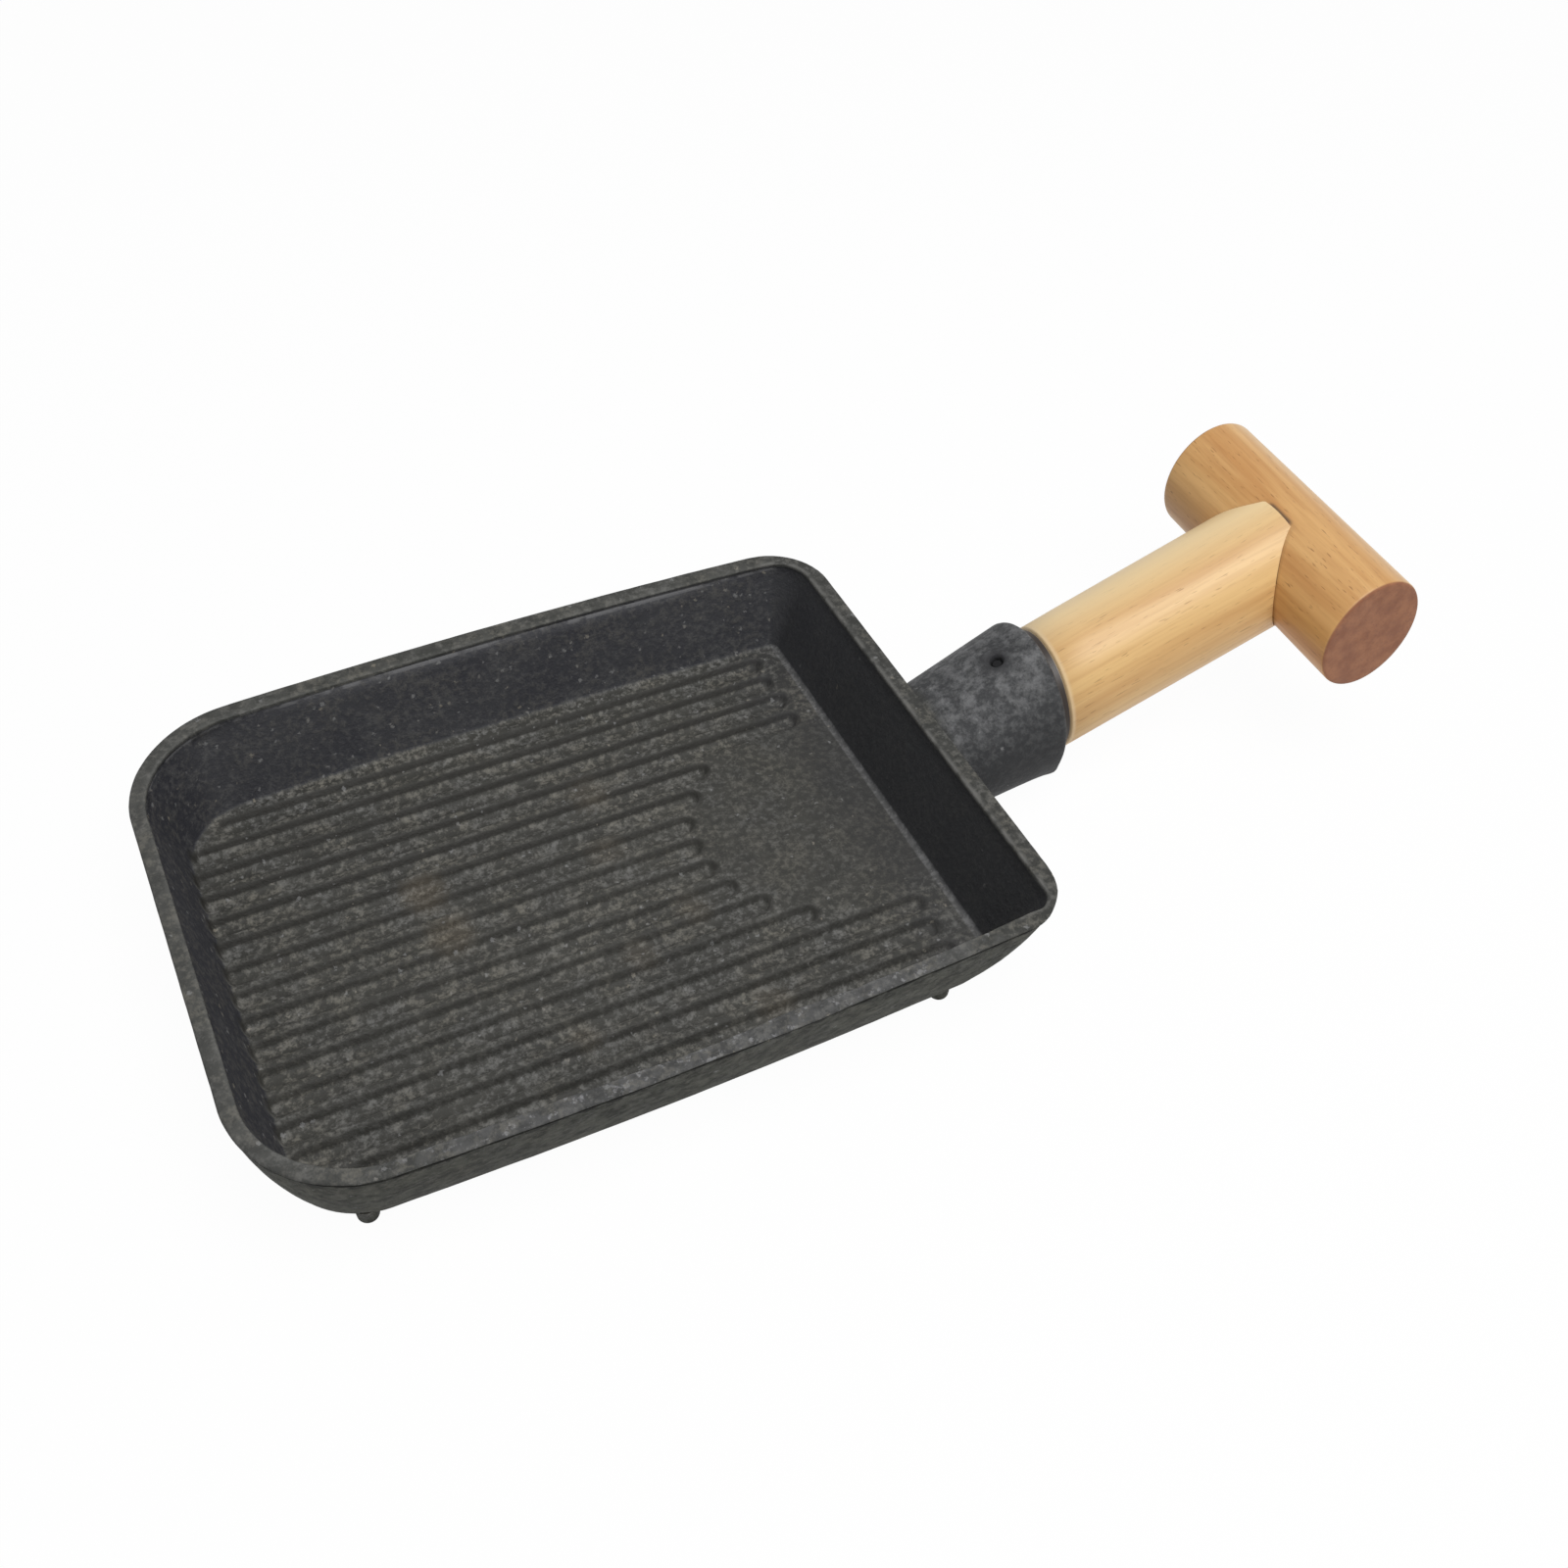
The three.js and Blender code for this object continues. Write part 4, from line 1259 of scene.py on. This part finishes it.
        # Painted glints: small bright flecks along the near rim.
        glints = make.ramp(make.noise(self.spot, 420.0, 4.0, 0.7), 0.55, 0.66)
        self.paint(near * glints * 0.7, (0.29, 0.29, 0.3))

    def outer_wall(self):
        """Painted shade on the outside of the near wall, below the lip."""
        near = self.outside * self.make.ramp(self.over, 20 * MM, -40 * MM)
        below_lip = self.make.ramp(self.below_rim, 1.2 * MM, 2.2 * MM)
        # Painted shade: darker, blotched iron on the near wall's outside.
        self.paint(near * below_lip * 0.9, (0.02, 0.0205, 0.0165), (0.074, 0.0755, 0.063))

    def channels(self):
        """Painted shade on the channels' far walls, painted light on their near halves, and painted shade
        on the floor by the handle wall.
        """
        # Painted shade on the channels' far walls, darker further back.
        self.paint(self.groove * (self.further * 0.4 + 0.48), (0.018, 0.017, 0.0145))
        # Painted light on the near halves of the channels, lifting their shade.
        near_half_light = self.mark("channel_near_half")
        self.paint(near_half_light * (self.further * 0.25 + 0.6), (0.105, 0.103, 0.095))
        # Painted shade on the floor beside the handle-end wall.
        self.paint(self.floor_shade_by_wall * 0.45, (0.028, 0.028, 0.031))

    def raised_grains(self):
        """Light grains, thin on the walls and fewer in the painted shade of the channels' far walls."""
        make = self.make
        tinted = make.ramp(make.noise(self.spot, 90.0, 3.0), 0.35, 0.65)
        far_foot = self.floor * make.ramp(self.over, floor_half_width - 4 * MM, floor_half_width - 2 * MM)
        share = self.ribbed * 0.4 + far_foot * 0.2 + self.rim * 0.2 + self.far_wall * -0.06 + 0.32
        share = share + self.handle_wall * -0.26 + self.floor_shade_by_wall * -0.2 + self.pad * -0.1
        share = share * (1.0 - self.groove * (self.further * 0.2 + 0.75))
        self.paint(self.grains * share, (0.19, 0.188, 0.18), (0.207, 0.196, 0.168), tinted)

    def rust(self):
        """Soft ragged patches at the rusty places on the floor."""
        make, mask = self.make, 0.0
        ragged = self.bumps - 0.5
        for x, y, radius, strength in RUST_SPOTS:
            reach = make.length(self.along - (pan_middle.x + x), self.over - y) + ragged * (1.6 * radius)
            mask = make.highest(make.ramp(reach, 1.9 * radius, 0.5 * radius, 0.0, strength), mask)
        self.paint(mask * self.floor * 0.5, (0.085, 0.07, 0.05), (0.22, 0.188, 0.14), self.grains)

    def edges(self):
        """Painted highlight along the foot of the handle-end wall, painted shadow and a painted highlight
        at the ledge under the far rim, a rubbed top edge on the handle-end wall, and a painted shadow under
        the lip.
        """
        make, below, foot = self.make, self.below_rim, self.wall_foot
        # Painted highlight: a light line along the foot of the handle-end wall.
        line = make.ramp(self.along, foot - 0.4 * MM, foot + 0.1 * MM)
        line = line * make.highest(self.floor, self.inner_side)
        line = line * make.stripe(self.above_floor, -0.6 * MM, -0.2 * MM, 0.6 * MM, 1.2 * MM)
        self.paint(line * (self.grains * 0.6 + 0.3), (0.15, 0.15, 0.152))
        far_side = self.inner_side * (1.0 - self.handle_wall) * make.ramp(self.over, 20 * MM, 50 * MM)
        to_handle = make.ramp(self.along, pan_middle.x - 30 * MM, pan_middle.x + 30 * MM)
        shadow = make.stripe(below, 0.3 * MM, 0.6 * MM, 0.9 * MM, 1.3 * MM)
        self.paint(shadow * far_side * to_handle * 0.75, (0.022, 0.022, 0.025))
        # Painted highlight on the ledge under the far rim.
        ledge = make.stripe(below, 1.1 * MM, 1.4 * MM, 1.8 * MM, 2.3 * MM)
        self.paint(ledge * far_side * self.broken * 0.8, (0.135, 0.135, 0.14))
        edge = make.ramp(below, 1.0 * MM, 0.5 * MM) * make.ramp(self.along, foot - 4 * MM, foot + 2 * MM)
        self.paint(edge * self.inner_side * self.broken * 0.65, (0.15, 0.148, 0.14))
        ragged = make.ramp(make.noise(self.spot, 160.0, 4.0, 0.6), 0.36, 0.56, 0.15, 1.0)
        depth = (self.broken - 0.5) * (1.3 * MM) + below
        # Painted shadow under the lip's edge on the outside.
        lip_shadow = make.ramp(below, 0.6 * MM, 0.85 * MM) * make.ramp(depth, 3.2 * MM, 2.4 * MM)
        self.paint(lip_shadow * self.outside * ragged * 0.85, (0.012, 0.012, 0.011))

    def smudged_socket(self, places):
        """Bluish socket, smudged light above with painted highlight, painted shade low on its near side and
        at the mouth, and painted shade in the hollow round the pin.
        """
        make, socket = self.make, self.socket
        along, across, up, past = make.group(places, {"Vector": self.spot}).values()
        lower = across * -FAR_ACROSS + up * -FAR_UP
        self.paint(socket * 0.9, (0.028, 0.029, 0.032), (0.092, 0.0935, 0.096), self.grains)
        # Light smudges on the upper side: partly rubbed marks, partly painted highlight.
        smudge_and_sheen = make.ramp(make.noise(self.spot, 260.0, 6.0, 0.75), 0.42, 0.7)
        self.paint(smudge_and_sheen * socket * make.ramp(lower, 10 * MM, -4 * MM) * 0.8, (0.2, 0.201, 0.206))
        shade = make.highest(make.ramp(lower, 2 * MM, 17 * MM), make.ramp(past, -1 * MM, 0.0, 0.0, 0.4))
        self.paint(socket * shade * 0.72, (0.02, 0.0205, 0.022))
        # Painted shade in the hollow round the pin hole.
        hollow = make.ramp(make.length(along + PIN_SETBACK, across), 6 * MM, 1.8 * MM)
        hollow = hollow * make.math("GREATER_THAN", up, 0.0)
        self.paint(socket * hollow * 0.92, (0.02, 0.02, 0.022))

    def bright_specks(self):
        """Specks of bare metal and dust over all of it, with more along the lip's edge as painted glints.
        """
        warm = self.make.ramp(self.warmth, 0.6, 0.95)
        share = self.specks * (self.handle_wall * -0.35 + 0.6)
        self.paint(share, (0.25, 0.25, 0.25), (0.27, 0.245, 0.2), warm)


def cast_iron(skin, places):
    iron = IronFinish(skin)
    iron.plain_surfaces()
    iron.worn_rim()
    iron.outer_wall()
    iron.channels()
    iron.raised_grains()
    iron.rust()
    iron.edges()
    iron.smudged_socket(places)
    iron.bright_specks()
    roughness = iron.mottle * 0.2 + iron.outside * 0.25 + 0.55
    inputs = {"Base Color": iron.colour, "Roughness": roughness, "Specular IOR Level": 0.3}
    wire_shader(iron.make, iron.shader, iron.bumps, *IRON_BUMP, inputs)
    return iron.material


def pin_steel(skin):
    """Blackened steel, hardly seen in its hole."""
    material, make, shader, spot = new_material("pin_steel")
    cast = make.group(skin, {"Vector": spot, "Speck Share": 0.1})
    steel = make.blend(cast["Mottle"], (0.017, 0.017, 0.018), (0.023, 0.023, 0.024))
    roughness = cast["Mottle"] * 0.25 + 0.55
    inputs = {"Base Color": steel, "Roughness": roughness, "Specular IOR Level": 0.06}
    wire_shader(make, shader, cast["Height"], *STEEL_BUMP, inputs)
    return material


# Stage, light and camera


def seen_directly(make):
    """1 for rays from the camera, from gloss and through glass, and otherwise 0."""
    rays = make.outs("ShaderNodeLightPath")
    first = make.highest(rays["Is Camera Ray"], rays["Is Glossy Ray"])
    return make.highest(first, rays["Is Transmission Ray"])


def pale_floor():
    material = bpy.data.materials.new("pale_floor")
    make = emptied(material)
    plain = make.out("ShaderNodeBsdfDiffuse", {"Color": (0.9, 0.9, 0.9)})
    white = make.out("ShaderNodeEmission", {"Color": WHITE, "Strength": 1.0})
    mixed = make.out("ShaderNodeMixShader", {0: seen_directly(make) * FLOOR_WHITENESS, 1: plain, 2: white})
    make.add("ShaderNodeOutputMaterial", {"Surface": mixed})
    corners = [(x * FLOOR_REACH, y * FLOOR_REACH, 0) for x, y in ((-1, -1), (1, -1), (1, 1), (-1, 1))]
    made = mesh_object("studio_floor", corners, [(0, 1, 2, 3)])
    made.data.materials.append(material)


def studio_world():
    world = bpy.data.worlds.new("studio_world")
    bpy.context.scene.world = world
    make = emptied(world)
    fill = make.out("ShaderNodeBackground", {"Color": WHITE, "Strength": FILL_STRENGTH})
    white = make.out("ShaderNodeBackground", {"Color": WHITE, "Strength": 1.0})
    mixed = make.out("ShaderNodeMixShader", {0: seen_directly(make), 1: fill, 2: white})
    make.add("ShaderNodeOutputWorld", {"Surface": mixed})


def overhead_lamp():
    data = bpy.data.lights.new("overhead", "AREA")
    data.shape = "DISK"
    data.size = LAMP_SIZE
    data.energy = LAMP_POWER
    lamp = bpy.data.objects.new("overhead", data)
    lamp.location = LAMP_PLACE
    lamp.rotation_euler = Vector(LAMP_PLACE).to_track_quat("Z", "Y").to_euler()
    bpy.context.scene.collection.objects.link(lamp)


def photo_camera():
    sin, cos = math.sin, math.cos
    back = Vector((
        sin(VIEW_AZIMUTH) * cos(VIEW_ELEVATION),
        -cos(VIEW_AZIMUTH) * cos(VIEW_ELEVATION),
        sin(VIEW_ELEVATION),
    ))
    level = Vector((cos(VIEW_AZIMUTH), sin(VIEW_AZIMUTH), 0))
    above = back.cross(level)
    right = level * cos(VIEW_ROLL) + above * sin(VIEW_ROLL)
    up = above * cos(VIEW_ROLL) - level * sin(VIEW_ROLL)
    target = pan_middle + Vector((VIEW_TARGET_X, VIEW_TARGET_Y, RIM_HEIGHT))
    data = bpy.data.cameras.new("photo_camera")
    data.sensor_width = SENSOR_WIDTH
    data.sensor_fit = "HORIZONTAL"
    data.lens = FOCAL_PIXELS / PHOTO_SIZE * SENSOR_WIDTH
    data.clip_start = 0.01
    camera = bpy.data.objects.new("photo_camera", data)
    turn = Matrix((right, up, back)).transposed().to_4x4()
    camera.matrix_world = Matrix.Translation(target + back * VIEW_DISTANCE) @ turn
    bpy.context.scene.collection.objects.link(camera)
    bpy.context.scene.camera = camera


def use_finish(node, material):
    """Gives a CAD node a better material."""
    frame["nodes"][node].data.materials.clear()
    frame["nodes"][node].data.materials.append(material)


skin = cast_skin_group()
grain = wood_grain_group()
places = handle_places_group()
pieces = [
    (pan_casting(cast_iron(skin, places)), "pan_casting", "iron"),
    (handle_stem(stem_wood(grain, places)), "handle_stem", "stem_wood"),
    (handle_crossbar(crossbar_wood(grain, places)), "handle_crossbar", "crossbar_wood"),
]
for piece, node, slot in pieces:
    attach(piece, "root")
    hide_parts(node)
use_finish("crossbar_dowel", dowel_wood(grain))
use_finish("handle_pin", pin_steel(skin))

pale_floor()
studio_world()
overhead_lamp()
photo_camera()
bpy.context.scene.view_settings.view_transform = "Standard"
